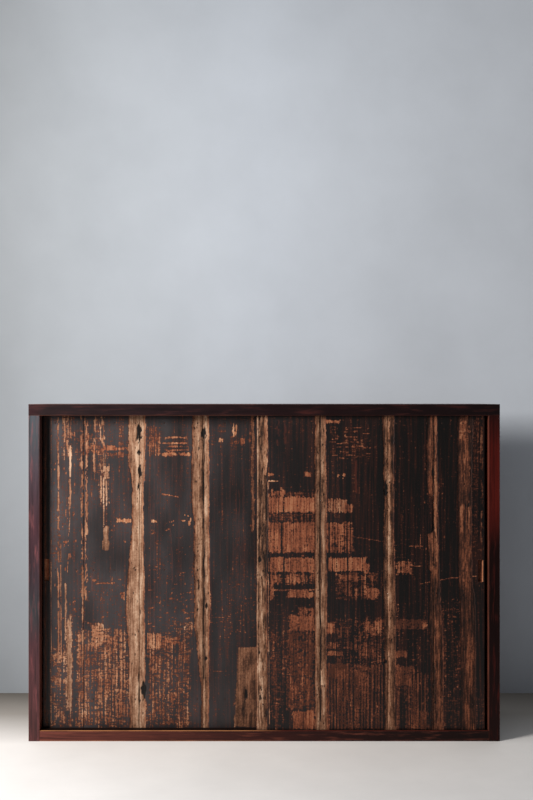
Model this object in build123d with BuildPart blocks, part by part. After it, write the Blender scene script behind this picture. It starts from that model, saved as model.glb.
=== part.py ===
"""Mizuya kitchen cabinet: a post-and-rail chest with two sliding board doors, in millimetres.

The front faces -Y, +Z is up, and the origin is the middle of the footprint on the floor.
Four posts stand on the floor and carry a top frame, with the bottom rails tenoned between them.
The right-hand door runs in the front pair of grooves and the left-hand door in the rear pair.
Each door is four lapped boards nailed to three ledges. Behind them are two boarded shelves.
"""

import os

from build123d import *

# ---- Overall size ------------------------------------------------------------------------------
width = 1695.0
depth = 455.0
height = 1212.0

# ---- Posts and rails ---------------------------------------------------------------------------
post_width = 40.0
back_post_depth = 45.0
head_height = 41.0  # the top frame's rails, head rail included
sill_height = 37.0  # the bottom frame's rails, sill included
middle_rail_height = 36.0
side_rail_thickness = 26.0
side_rail_inset = 4.0  # from the posts' outer faces
arris = 1.2  # chamfer along the frame's front edges

# ---- Boards ------------------------------------------------------------------------------------
joint_gap = 1.0  # open seam between two boards
lap = 8.0  # how far a board's back half reaches behind its neighbour
lap_clearance = 0.3
top_board_thickness = 15.0
top_board_count = 3
top_rebate = 12.0  # how far the top boards lie on the frame
top_board_play = 0.5  # between the top boards and the walls of their tray
floor_board_thickness = 12.0
floor_board_count = 3
shelf_board_thickness = 14.0
shelf_board_count = 2
shelf_play = 1.0  # from the shelf boards to the side rails, the back posts and the back
back_board_thickness = 9.0
back_board_count = 8
back_board_foot = 6.0  # the back boards stop this far above the floor
back_rebate = 12.0  # how far the back boards reach up behind the top frame
panel_thickness = 9.0
panel_board_count = 2
panel_groove_depth = 7.0
panel_play = 1.0  # room above a side panel and beyond its edges, for the wood to move

# ---- Bearers under the boards ------------------------------------------------------------------
top_bearer_width = 34.0
top_bearer_height = 22.0
top_bearer_count = 3
floor_bearer_width = 34.0
floor_bearer_ground_gap = 5.0
floor_bearer_count = 5
shelf_bearer_width = 30.0
shelf_bearer_height = 22.0
shelf_bearer_count = 2
bearer_housing = 8.0  # how far a bearer's end is let into a rail

# ---- Shelves -----------------------------------------------------------------------------------
shelf_steps = {"lower": 1 / 3, "upper": 2 / 3}  # shares of the opening's height
shelf_rail_height = 28.0
shelf_front_rail_thickness = 26.0
shelf_back_rail_thickness = 24.0
shelf_setback = 6.5  # from the back of the sill to the shelf's front edge
shelf_tenon_length = 10.0
shelf_tenon_height = 18.0
shelf_tenon_thickness = 10.0

# ---- Tenons ------------------------------------------------------------------------------------
post_tenon_width = 22.0
post_tenon_height = 24.0
front_post_tenon_depth = 24.0
front_post_tenon_setback = 18.0  # from the front face
back_post_tenon_depth = 16.0
back_post_tenon_setback = 5.5  # from the back face
through_tenon_height = 24.0
sill_tenon_thickness = 12.0
sill_tenon_setback = 10.0
back_tenon_thickness = 10.0
back_tenon_setback = 2.5  # from the back rails' rear face
side_tenon_thickness = 10.0
side_tenon_height = 20.0
side_tenon_length = 20.0
end_rail_tenon_width = 20.0
end_rail_tenon_height = 14.0
end_rail_tenon_cover = 2.0  # wood between the panel's groove and the tenon above it
wedge_length = 26.0
wedge_thick_end = 3.0
wedge_thin_end = 0.8

# ---- Sliding doors -----------------------------------------------------------------------------
door_overlap = 46.5  # how far the shut doors pass each other at the middle
door_board_thickness = 12.0
ledge_thickness = 10.0
ledge_height = 36.0
ledge_end_margin = 12.0
door_passing_gap = 3.0  # between the front door's ledges and the rear door
groove_clearance = 0.75  # each side of a door board in its groove
sill_clearance = 0.3  # under a door in its groove
head_groove_depth = 15.0
sill_groove_depth = 3.5
head_engagement = 7.0  # how far a door stands up into the head rail
track_lip = 16.0  # from the sill's front face to the front groove
ledge_back_clearance = 2.25  # behind the rear door's ledges
left_door_gap = 2.5  # between the left door and the left post as the doors stand
right_door_gap = 11.0
left_board_widths = (150.0, 202.0, 231.0)  # the last board takes what is left
right_board_widths = (229.0, 244.0, 168.0)
left_bottom_ledge_rise = 106.0  # from a door's foot to the middle of its bottom ledge
right_bottom_ledge_rise = 94.0
middle_ledge_rise = 6.0  # above the middle of the opening
top_ledge_drop = 28.0  # below the head rail

# ---- Worn strips where cover battens lay over the board joints ---------------------------------
strip_depth = 0.8
left_strips = ((2.0, 24.0), (-9.0, 65.0), (-7.0, 65.0))  # offset from its joint, and width
right_strips = ((0.0, 43.0), (5.0, 43.0), (0.0, 43.0))
right_meeting_strip = 39.0  # along the right door's left edge
right_outer_strip = (72.0, 50.0)  # from the door's right edge to its middle, and width

# ---- Finger pull, a slot sunk in each door's outer board ---------------------------------------
pull_width = 18.0
pull_height = 79.0
pull_depth = 8.0
pull_edge_margin = 6.0
pull_corner = 2.0

# ---- Forged nails ------------------------------------------------------------------------------
nail_point = 1.4
nail_head_width = 4.0
nail_head_length = 5.5
door_nail_length = 19.0
back_nail_length = 28.0
top_nail_length = 28.0
left_nail_shares = ((0.31, 0.81), (0.17, 0.55, 0.92), (0.39, 0.91), (0.33, 0.64, 0.92))
right_nail_shares = ((0.1, 0.56, 0.9), (0.15, 0.69, 0.92), (0.17, 0.84), (0.15, 0.57, 0.76))
back_nail_shares = (0.16, 0.84)  # nail columns, as shares of each board's width
top_nail_columns = 8

# ---- Places worked out from the sizes above ----------------------------------------------------
half_width = width / 2
front_y = -depth / 2
back_y = depth / 2
opening_half = half_width - post_width
opening_width = 2 * opening_half
head_under_z = height - head_height
track_groove = door_board_thickness + 2 * groove_clearance
track_pitch = door_board_thickness + ledge_thickness + door_passing_gap
front_door_y = front_y + track_lip + groove_clearance
rear_door_y = front_door_y + track_pitch
inner_front_y = rear_door_y + door_board_thickness + ledge_thickness + ledge_back_clearance
front_frame_depth = inner_front_y - front_y
inner_back_y = back_y - back_post_depth
inner_depth = inner_back_y - inner_front_y
inner_middle_y = (inner_front_y + inner_back_y) / 2
back_rail_rear_y = back_y - back_board_thickness
post_centre_x = half_width - post_width / 2
side_rail_outer_x = half_width - side_rail_inset
side_rail_inner_x = side_rail_outer_x - side_rail_thickness
panel_centre_x = (side_rail_outer_x + side_rail_inner_x) / 2
panel_inner_x = panel_centre_x - panel_thickness / 2
sill_tenon_y = front_y + sill_tenon_setback + sill_tenon_thickness / 2
back_tenon_y = back_rail_rear_y - back_tenon_setback - back_tenon_thickness / 2
front_post_tenon_y = front_y + front_post_tenon_setback + front_post_tenon_depth / 2
back_post_tenon_y = back_y - back_post_tenon_setback - back_post_tenon_depth / 2
bottom_rail_middle_z = sill_height / 2
middle_rail_centre_z = (sill_height + head_under_z) / 2
middle_rail_under_z = middle_rail_centre_z - middle_rail_height / 2
middle_rail_top_z = middle_rail_centre_z + middle_rail_height / 2
top_board_under_z = height - top_board_thickness
floor_board_under_z = sill_height - floor_board_thickness
end_rail_tenon_foot_z = head_under_z + panel_groove_depth + end_rail_tenon_cover
end_rail_tenon_z = end_rail_tenon_foot_z + end_rail_tenon_height / 2
door_foot_z = sill_height - sill_groove_depth + sill_clearance
door_head_z = head_under_z + head_engagement
middle_ledge_z = middle_rail_centre_z + middle_ledge_rise
top_ledge_z = head_under_z - top_ledge_drop
door_width = (opening_width - left_door_gap - right_door_gap + door_overlap) / 2
left_door_left_x = -opening_half + left_door_gap
right_door_left_x = opening_half - right_door_gap - door_width
top_bearer_pitch = opening_width / (top_bearer_count + 1)
floor_bearer_pitch = (opening_width - floor_bearer_width) / (floor_bearer_count - 1)
floor_bearer_height = floor_board_under_z - floor_bearer_ground_gap
floor_bearer_z = floor_bearer_ground_gap + floor_bearer_height / 2
shelf_bearer_pitch = opening_width / (shelf_bearer_count + 1)
shelf_front_y = inner_front_y + shelf_setback
shelf_front_rail_y = shelf_front_y + shelf_front_rail_thickness / 2
shelf_back_rail_y = back_rail_rear_y - shelf_back_rail_thickness / 2
shelf_ledger_x = (opening_half + panel_inner_x) / 2
shelf_tops = {
    shelf: sill_height + share * (head_under_z - sill_height)
    for shelf, share in shelf_steps.items()
}
sides = {"left": -1, "right": 1}


# ---- Shared shapes -----------------------------------------------------------------------------
def add_box(middle, size, mode=Mode.ADD):
    """Adds a box of size about middle to the part being built, or cuts it with Mode.SUBTRACT."""
    with Locations(middle):
        Box(*size, mode=mode)


def add_row(middle, size, pitch, count, mode=Mode.ADD):
    """Adds, or cuts, a row of count equal boxes along X, pitch apart and centred on middle."""
    with Locations(middle):
        with GridLocations(pitch, 1, count, 1):
            Box(*size, mode=mode)


def draw_rectangle(low_corner, high_corner):
    """Draws a rectangle between two opposite corners in the sketch being built."""
    (low_u, low_v), (high_u, high_v) = low_corner, high_corner
    with Locations(((low_u + high_u) / 2, (low_v + high_v) / 2)):
        Rectangle(abs(high_u - low_u), abs(high_v - low_v))


def even_edges(low, high, count):
    """The joints of a row of count equal boards from low to high, both ends included."""
    return [low + (high - low) * step / count for step in range(count + 1)]


def lapped_board(plane, edges, index, face, back, length):
    """One board of a lapped row, drawn on plane with the row along its first axis, and run out by length.

    The row's joints lie at edges. A board's front half stops at its joints. Its back half reaches
    behind the next board as a tongue, and leaves room for the tongue of the board before.
    """
    first, last = index == 0, index == len(edges) - 2
    seam_low = edges[index] + (0 if first else joint_gap / 2)
    seam_high = edges[index + 1] - (0 if last else joint_gap / 2)
    core_low = seam_low if first else seam_low + lap
    tongue_high = seam_high if last else seam_high + lap
    middle = (face + back) / 2
    tongue_face = middle + (lap_clearance if back > face else -lap_clearance)
    with BuildPart() as board:
        with BuildSketch(plane):
            draw_rectangle((seam_low, face), (seam_high, middle))
            draw_rectangle((core_low, face), (seam_high, back))
            draw_rectangle((core_low, tongue_face), (tongue_high, back))
        extrude(amount=length)
    return board.part


def board_row(plane, edges, face, back, length):
    """All the boards of a lapped row, as separate solids of one part."""
    boards = [
        lapped_board(plane, edges, index, face, back, length) for index in range(len(edges) - 1)
    ]
    with BuildPart() as row:
        add(boards)
    return row.part


def forged_nail(length):
    """A forged nail tapering from its flush head on the plane Y = 0 to its point along +Y."""
    with BuildPart() as nail:
        with BuildSketch(Plane.XZ):
            Rectangle(nail_head_width, nail_head_length)
        with BuildSketch(Plane.XZ.offset(-length)):
            Rectangle(nail_point, nail_point)
        loft()
    return nail.part


def drive(nail, places, mode=Mode.ADD):
    """Adds a nail at each place to the part being built, or cuts its hole with Mode.SUBTRACT."""
    with Locations(places):
        add(nail, mode=mode)


def nail_group(nail, places):
    """The nails at places, as separate solids of one part."""
    with BuildPart() as nails:
        drive(nail, places)
    return nails.part


def nail_lines(edges, shares):
    """The nail columns of a row of boards. Shares holds one tuple for each board."""
    return [
        low + share * (high - low)
        for low, high, board_shares in zip(edges, edges[1:], shares)
        for share in board_shares
    ]


# ---- Wedges of the through tenons --------------------------------------------------------------
def tenon_wedge(side, y, thickness, z):
    """The wedge in the outer end of a through tenon of the post on one side."""
    outer_x, inner_x = side * half_width, side * (half_width - wedge_length)
    with BuildPart() as wedge:
        with BuildSketch(Plane.XZ.offset(-y + thickness / 2)):
            with BuildLine():
                Polyline(
                    (outer_x, z - wedge_thick_end / 2),
                    (outer_x, z + wedge_thick_end / 2),
                    (inner_x, z + wedge_thin_end / 2),
                    (inner_x, z - wedge_thin_end / 2),
                    close=True,
                )
            make_face()
        extrude(amount=-thickness)
    return wedge.part


wedges = [
    tenon_wedge(side, y, thickness, z)
    for side in sides.values()
    for y, thickness, z in (
        (sill_tenon_y, sill_tenon_thickness, bottom_rail_middle_z),
        (back_tenon_y, back_tenon_thickness, bottom_rail_middle_z),
        (back_tenon_y, back_tenon_thickness, middle_rail_centre_z),
    )
]

with BuildPart() as tenon_wedges:
    add(wedges)


# ---- Posts -------------------------------------------------------------------------------------
def shelf_rail_z(top):
    """The middle height of the rails under a shelf whose upper face is at top."""
    return top - shelf_board_thickness - shelf_rail_height / 2


def cut_side_joints(side, face_y, inward):
    """Cuts a post's mortises for the side rails and shelf ledgers, from face_y inward along Y."""
    for z in (bottom_rail_middle_z, middle_rail_centre_z):
        add_box(
            (side * panel_centre_x, face_y + inward * side_tenon_length / 2, z),
            (side_tenon_thickness, side_tenon_length, side_tenon_height),
            Mode.SUBTRACT,
        )
    for top in shelf_tops.values():
        add_box(
            (side * shelf_ledger_x, face_y + inward * shelf_tenon_length / 2, shelf_rail_z(top)),
            (shelf_tenon_thickness, shelf_tenon_length, shelf_tenon_height),
            Mode.SUBTRACT,
        )


def front_post(side):
    """A front post: the sill passes through its foot, and the side rails enter its rear face."""
    with BuildPart() as post:
        with BuildSketch() as section:
            with Locations((side * post_centre_x, front_y + front_frame_depth / 2)):
                Rectangle(post_width, front_frame_depth)
            chamfer(section.vertices().group_by(Axis.Y)[0], arris)
            with Locations((side * panel_centre_x, inner_front_y)):
                Rectangle(panel_thickness, 2 * panel_groove_depth, mode=Mode.SUBTRACT)
        extrude(amount=head_under_z)
        add_box(
            (side * post_centre_x, front_post_tenon_y, head_under_z + post_tenon_height / 2),
            (post_tenon_width, front_post_tenon_depth, post_tenon_height),
        )
        add_box(
            (side * post_centre_x, sill_tenon_y, bottom_rail_middle_z),
            (post_width, sill_tenon_thickness, through_tenon_height),
            Mode.SUBTRACT,
        )
        cut_side_joints(side, inner_front_y, -1)
    return post.part


def back_post(side):
    """A back post: the back rails pass through it, and the side and shelf rails end in it."""
    with BuildPart() as post:
        with BuildSketch():
            with Locations((side * post_centre_x, back_y - back_post_depth / 2)):
                Rectangle(post_width, back_post_depth)
            with Locations((side * panel_centre_x, inner_back_y)):
                Rectangle(panel_thickness, 2 * panel_groove_depth, mode=Mode.SUBTRACT)
        extrude(amount=head_under_z)
        add_box(
            (side * post_centre_x, back_post_tenon_y, head_under_z + post_tenon_height / 2),
            (post_tenon_width, back_post_tenon_depth, post_tenon_height),
        )
        for z in (bottom_rail_middle_z, middle_rail_centre_z):
            add_box(
                (side * post_centre_x, back_tenon_y, z),
                (post_width, back_tenon_thickness, through_tenon_height),
                Mode.SUBTRACT,
            )
        for top in shelf_tops.values():
            add_box(
                (
                    side * (opening_half + shelf_tenon_length / 2),
                    shelf_back_rail_y,
                    shelf_rail_z(top),
                ),
                (shelf_tenon_length, shelf_tenon_thickness, shelf_tenon_height),
                Mode.SUBTRACT,
            )
        cut_side_joints(side, inner_back_y, 1)
    return post.part


# ---- Top boards and their nails ----------------------------------------------------------------
top_length = 2 * (opening_half + top_rebate - top_board_play)
top_edges = even_edges(
    inner_front_y - top_rebate + top_board_play,
    inner_back_y + top_rebate - top_board_play,
    top_board_count,
)
top_nail_rows = (inner_front_y - top_rebate / 2, inner_back_y + top_rebate / 2)
top_nail_places = [
    (x, y, height)
    for x in even_edges(-opening_half, opening_half, top_nail_columns + 1)[1:-1]
    for y in top_nail_rows
]
top_nail = forged_nail(top_nail_length).rotate(Axis.X, -90)


def top_board(index):
    """One lengthwise board of the top, lying in the frame's tray flush with its upper face."""
    plane = Plane.YZ.offset(-top_length / 2)
    whole = lapped_board(plane, top_edges, index, height, top_board_under_z, top_length)
    with BuildPart() as board:
        add(whole)
        drive(top_nail, top_nail_places, Mode.SUBTRACT)
    return board.part


# ---- Top frame ---------------------------------------------------------------------------------
def cut_top_tray():
    """Cuts the shallow tray that the top boards lie in from a rail of the top frame."""
    add_box(
        (0, inner_middle_y, height - top_board_thickness / 2),
        (2 * (opening_half + top_rebate), inner_depth + 2 * top_rebate, top_board_thickness),
        Mode.SUBTRACT,
    )


def cut_top_frame_joints(face_y, inward, post_tenon_y, post_tenon_depth):
    """Cuts what enters a long top rail whose inner face is at face_y: posts, end rails, bearers, panels."""
    add_row(
        (0, post_tenon_y, head_under_z + post_tenon_height / 2),
        (post_tenon_width, post_tenon_depth, post_tenon_height),
        2 * post_centre_x,
        2,
        Mode.SUBTRACT,
    )
    add_row(
        (0, face_y + inward * side_tenon_length / 2, end_rail_tenon_z),
        (end_rail_tenon_width, side_tenon_length, end_rail_tenon_height),
        2 * post_centre_x,
        2,
        Mode.SUBTRACT,
    )
    add_row(
        (0, face_y + inward * panel_groove_depth / 2, head_under_z + panel_groove_depth / 2),
        (panel_thickness, panel_groove_depth, panel_groove_depth),
        2 * panel_centre_x,
        2,
        Mode.SUBTRACT,
    )
    add_row(
        (0, face_y + inward * bearer_housing / 2, top_board_under_z - top_bearer_height / 2),
        (top_bearer_width, bearer_housing, top_bearer_height),
        top_bearer_pitch,
        top_bearer_count,
        Mode.SUBTRACT,
    )
    drive(top_nail, top_nail_places, Mode.SUBTRACT)


with BuildPart() as head_rail:
    with BuildSketch(Plane.YZ.offset(-half_width)) as head_section:
        draw_rectangle((front_y, head_under_z), (inner_front_y, height))
        chamfer(head_section.vertices().group_by(Axis.Y)[0], arris)
    extrude(amount=width)
    for face in (front_door_y, rear_door_y):
        add_box(
            (0, face + door_board_thickness / 2, head_under_z + head_groove_depth / 2),
            (opening_width, track_groove, head_groove_depth),
            Mode.SUBTRACT,
        )
    cut_top_tray()
    cut_top_frame_joints(inner_front_y, -1, front_post_tenon_y, front_post_tenon_depth)


def top_end_rail(side):
    """A short rail of the top frame, tenoned into the head rail and the top back rail."""
    with BuildPart() as rail:
        with BuildSketch(Plane.XZ.offset(-inner_front_y)):
            with Locations((side * post_centre_x, height - head_height / 2)):
                Rectangle(post_width, head_height)
            with Locations((side * panel_centre_x, head_under_z)):
                Rectangle(panel_thickness, 2 * panel_groove_depth, mode=Mode.SUBTRACT)
        extrude(amount=-inner_depth)
        add_box(
            (side * post_centre_x, inner_middle_y, end_rail_tenon_z),
            (end_rail_tenon_width, inner_depth + 2 * side_tenon_length, end_rail_tenon_height),
        )
        cut_top_tray()
    return rail.part


with BuildPart() as top_bearers:
    add_row(
        (0, inner_middle_y, top_board_under_z - top_bearer_height / 2),
        (top_bearer_width, inner_depth + 2 * bearer_housing, top_bearer_height),
        top_bearer_pitch,
        top_bearer_count,
    )
    drive(top_nail, top_nail_places, Mode.SUBTRACT)


# ---- Back boards and their nails ---------------------------------------------------------------
back_edges = even_edges(-opening_half, opening_half, back_board_count)
back_nail_levels = (
    bottom_rail_middle_z,
    middle_rail_centre_z,
    head_under_z + back_rebate / 2,
)
back_nail_places = [
    (x, back_y, z)
    for x in nail_lines(back_edges, [back_nail_shares] * back_board_count)
    for z in back_nail_levels
]
back_nail = forged_nail(back_nail_length).rotate(Axis.Z, 180)
back_board_plane = Plane.XY.offset(back_board_foot)
back_board_height = head_under_z + back_rebate - back_board_foot
bare_back_boards = board_row(
    back_board_plane, back_edges, back_y, back_rail_rear_y, back_board_height
)

with BuildPart() as back_boards:
    add(bare_back_boards)
    drive(back_nail, back_nail_places, Mode.SUBTRACT)


# ---- Back rails --------------------------------------------------------------------------------
with BuildPart() as top_back_rail:
    with BuildSketch(Plane.YZ.offset(-half_width)):
        draw_rectangle((inner_back_y, head_under_z), (back_y, height))
    extrude(amount=width)
    cut_top_tray()
    cut_top_frame_joints(inner_back_y, 1, back_post_tenon_y, back_post_tenon_depth)
    add_box(
        (0, back_y - back_board_thickness / 2, head_under_z + back_rebate / 2),
        (opening_width, back_board_thickness, back_rebate),
        Mode.SUBTRACT,
    )
    drive(back_nail, back_nail_places, Mode.SUBTRACT)


def cut_floor_housings(face_y, inward):
    """Cuts the housings of the floor bearers from a long bottom rail whose inner face is at face_y."""
    add_row(
        (0, face_y + inward * bearer_housing / 2, floor_bearer_z),
        (floor_bearer_width, bearer_housing, floor_bearer_height),
        floor_bearer_pitch,
        floor_bearer_count,
        Mode.SUBTRACT,
    )


def back_rail(centre_z, rail_height, holds_floor):
    """A back rail between the back posts, with wedged tenons right through them."""
    with BuildPart() as rail:
        with BuildSketch(Plane.YZ.offset(-opening_half)):
            with Locations(((inner_back_y + back_rail_rear_y) / 2, centre_z)):
                Rectangle(back_rail_rear_y - inner_back_y, rail_height)
        extrude(amount=opening_width)
        add_box(
            (0, back_tenon_y, centre_z),
            (width, back_tenon_thickness, through_tenon_height),
        )
        if holds_floor:
            cut_floor_housings(inner_back_y, 1)
        add(wedges, mode=Mode.SUBTRACT)
        drive(back_nail, back_nail_places, Mode.SUBTRACT)
    return rail.part


# ---- Sill and side rails -----------------------------------------------------------------------
with BuildPart() as sill:
    with BuildSketch(Plane.YZ.offset(-opening_half)) as sill_section:
        draw_rectangle((front_y, 0), (inner_front_y, sill_height))
        chamfer(sill_section.vertices().group_by(Axis.Y)[0], arris)
        for face in (front_door_y, rear_door_y):
            with Locations((face + door_board_thickness / 2, sill_height)):
                Rectangle(track_groove, 2 * sill_groove_depth, mode=Mode.SUBTRACT)
    extrude(amount=opening_width)
    add_box(
        (0, sill_tenon_y, bottom_rail_middle_z),
        (width, sill_tenon_thickness, through_tenon_height),
    )
    cut_floor_housings(inner_front_y, -1)
    add(wedges, mode=Mode.SUBTRACT)


def side_rail(side, centre_z, rail_height, groove_levels):
    """A side rail between two posts, grooved for the panels on the edges at groove_levels."""
    with BuildPart() as rail:
        with BuildSketch(Plane.XZ.offset(-inner_front_y)):
            with Locations((side * panel_centre_x, centre_z)):
                Rectangle(side_rail_thickness, rail_height)
            for level in groove_levels:
                with Locations((side * panel_centre_x, level)):
                    Rectangle(panel_thickness, 2 * panel_groove_depth, mode=Mode.SUBTRACT)
        extrude(amount=-inner_depth)
        for face_y, inward in ((inner_front_y, -1), (inner_back_y, 1)):
            add_box(
                (side * panel_centre_x, face_y + inward * side_tenon_length / 2, centre_z),
                (side_tenon_thickness, side_tenon_length, side_tenon_height),
            )
    return rail.part


# ---- Side panels -------------------------------------------------------------------------------
panel_levels = {
    "lower": (sill_height, middle_rail_under_z),
    "upper": (middle_rail_top_z, head_under_z),
}
panel_reach = panel_groove_depth - panel_play
panel_edges = even_edges(
    inner_front_y - panel_reach, inner_back_y + panel_reach, panel_board_count
)


def side_panel(side, field):
    """The lapped boards of one side panel, standing in the groove of the rail below."""
    low, high = panel_levels[field]
    foot = low - panel_groove_depth
    plane = Plane(origin=(0, 0, foot), x_dir=(0, side, 0), z_dir=(0, 0, 1))
    edges = [side * edge for edge in panel_edges][::side]
    face, back = -(panel_centre_x + panel_thickness / 2), -panel_inner_x
    return board_row(plane, edges, face, back, high + panel_reach - foot)


# ---- Floor -------------------------------------------------------------------------------------
with BuildPart() as floor_bearers:
    add_row(
        (0, inner_middle_y, floor_bearer_z),
        (floor_bearer_width, inner_depth + 2 * bearer_housing, floor_bearer_height),
        floor_bearer_pitch,
        floor_bearer_count,
    )

floor_edges = even_edges(inner_front_y, inner_back_y, floor_board_count)


def floor_board(index):
    """One lengthwise board of the cabinet's floor, flush with the sill's upper face."""
    plane = Plane.YZ.offset(-side_rail_inner_x)
    length = 2 * side_rail_inner_x
    return lapped_board(plane, floor_edges, index, sill_height, floor_board_under_z, length)


# ---- Shelves -----------------------------------------------------------------------------------
shelf_edges = even_edges(shelf_front_y, back_rail_rear_y - shelf_play, shelf_board_count)
shelf_bearer_front_y = shelf_front_rail_y + shelf_front_rail_thickness / 2
shelf_bearer_back_y = shelf_back_rail_y - shelf_back_rail_thickness / 2


def shelf_ledgers(top):
    """The two side ledgers of a shelf, tenoned into the posts and lying against the side panels."""
    z = shelf_rail_z(top)
    ledger_thickness = panel_inner_x - opening_half
    with BuildPart() as ledgers:
        add_row(
            (0, inner_middle_y, z),
            (ledger_thickness, inner_depth, shelf_rail_height),
            2 * shelf_ledger_x,
            2,
        )
        add_row(
            (0, inner_middle_y, z),
            (shelf_tenon_thickness, inner_depth + 2 * shelf_tenon_length, shelf_tenon_height),
            2 * shelf_ledger_x,
            2,
        )
        add_row(
            (0, shelf_front_rail_y, z),
            (shelf_tenon_length, shelf_tenon_thickness, shelf_tenon_height),
            opening_width + shelf_tenon_length,
            2,
            Mode.SUBTRACT,
        )
    return ledgers.part


def shelf_long_rail(top, middle_y, thickness, face_y, inward):
    """A shelf's front or back rail, with a tenon at each end and housed for bearers at face_y.

    The front rail ends in the ledgers, and the back rail in the back posts.
    """
    z = shelf_rail_z(top)
    with BuildPart() as rail:
        add_box((0, middle_y, z), (opening_width, thickness, shelf_rail_height))
        add_box(
            (0, middle_y, z),
            (
                opening_width + 2 * shelf_tenon_length,
                shelf_tenon_thickness,
                shelf_tenon_height,
            ),
        )
        add_row(
            (
                0,
                face_y + inward * bearer_housing / 2,
                top - shelf_board_thickness - shelf_bearer_height / 2,
            ),
            (shelf_bearer_width, bearer_housing, shelf_bearer_height),
            shelf_bearer_pitch,
            shelf_bearer_count,
            Mode.SUBTRACT,
        )
    return rail.part


def shelf_bearers(top):
    """The cross bearers of a shelf, let into its front and back rails."""
    span = shelf_bearer_back_y - shelf_bearer_front_y
    with BuildPart() as bearers:
        add_row(
            (
                0,
                (shelf_bearer_front_y + shelf_bearer_back_y) / 2,
                top - shelf_board_thickness - shelf_bearer_height / 2,
            ),
            (shelf_bearer_width, span + 2 * bearer_housing, shelf_bearer_height),
            shelf_bearer_pitch,
            shelf_bearer_count,
        )
    return bearers.part


def shelf_boards(top):
    """The lengthwise boards of a shelf, lying on its rails and notched round the back posts."""
    half_length = side_rail_inner_x - shelf_play
    under = top - shelf_board_thickness
    plane = Plane.YZ.offset(-half_length)
    whole = board_row(plane, shelf_edges, top, under, 2 * half_length)
    notch_depth = back_post_depth + shelf_play
    with BuildPart() as boards:
        add(whole)
        add_row(
            (0, back_y - notch_depth / 2, top - shelf_board_thickness / 2),
            (post_width + 2 * shelf_play, notch_depth, shelf_board_thickness),
            2 * post_centre_x,
            2,
            Mode.SUBTRACT,
        )
    return boards.part


# ---- Doors -------------------------------------------------------------------------------------
door_nail = forged_nail(door_nail_length)


def door_board(edges, index, face_y, strips, nail_places, pull_x):
    """One door board, with the worn strips, nail holes and finger pull that fall on it."""
    plane = Plane.XY.offset(door_foot_z)
    board_height = door_head_z - door_foot_z
    whole = lapped_board(
        plane, edges, index, face_y, face_y + door_board_thickness, board_height
    )
    low, high = edges[index], edges[index + 1]
    with BuildPart() as board:
        add(whole)
        for middle, strip_width in strips:
            if low < middle + strip_width / 2 and middle - strip_width / 2 < high:
                add_box(
                    (middle, face_y + strip_depth / 2, (door_head_z + door_foot_z) / 2),
                    (strip_width, strip_depth, board_height),
                    Mode.SUBTRACT,
                )
        drive(
            door_nail,
            [place for place in nail_places if low < place[0] < high + lap],
            Mode.SUBTRACT,
        )
        if low < pull_x < high:
            with BuildSketch(Plane.XZ.offset(-face_y)):
                with Locations((pull_x, middle_ledge_z)):
                    RectangleRounded(pull_width, pull_height, pull_corner)
            extrude(amount=-pull_depth, mode=Mode.SUBTRACT)
    return board.part


def door_ledge(left_x, face_y, centre_z, nail_places):
    """One ledge across the back of a door's boards, with its nail holes."""
    with BuildPart() as ledge:
        add_box(
            (
                left_x + door_width / 2,
                face_y + door_board_thickness + ledge_thickness / 2,
                centre_z,
            ),
            (door_width - 2 * ledge_end_margin, ledge_thickness, ledge_height),
        )
        drive(
            door_nail,
            [place for place in nail_places if place[2] == centre_z],
            Mode.SUBTRACT,
        )
    return ledge.part


def door_edges(left_x, board_widths):
    """The board joints of a door whose left edge is at left_x, both edges included."""
    edges = [left_x]
    for board_width in board_widths:
        edges.append(edges[-1] + board_width)
    return [*edges, left_x + door_width]


def door_pieces(name, edges, face_y, strips, nail_shares, bottom_ledge_rise, pull_x):
    """All the pieces of a door by node name."""
    ledge_levels = {
        "bottom": door_foot_z + bottom_ledge_rise,
        "middle": middle_ledge_z,
        "top": top_ledge_z,
    }
    nail_places = [
        (x, face_y, z) for x in nail_lines(edges, nail_shares) for z in ledge_levels.values()
    ]
    pieces = {f"{name}_nails": nail_group(door_nail, nail_places)}
    for index in range(len(edges) - 1):
        board = door_board(edges, index, face_y, strips, nail_places, pull_x)
        pieces[f"{name}_board_{index + 1}"] = board
    for level_name, level in ledge_levels.items():
        ledge = door_ledge(edges[0], face_y, level, nail_places)
        pieces[f"{name}_{level_name}_ledge"] = ledge
    return pieces


def joint_strips(edges, strips):
    """The middle and width of the worn strip over each inner joint of a door."""
    return [
        (joint + offset, strip_width)
        for joint, (offset, strip_width) in zip(edges[1:-1], strips)
    ]


left_edges = door_edges(left_door_left_x, left_board_widths)
right_edges = door_edges(right_door_left_x, right_board_widths)
outer_strip_margin, outer_strip_width = right_outer_strip
right_door_strips = [
    (right_edges[0] + right_meeting_strip / 2, right_meeting_strip),
    *joint_strips(right_edges, right_strips),
    (right_edges[-1] - outer_strip_margin, outer_strip_width),
]
pull_offset = pull_edge_margin + pull_width / 2

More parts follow.
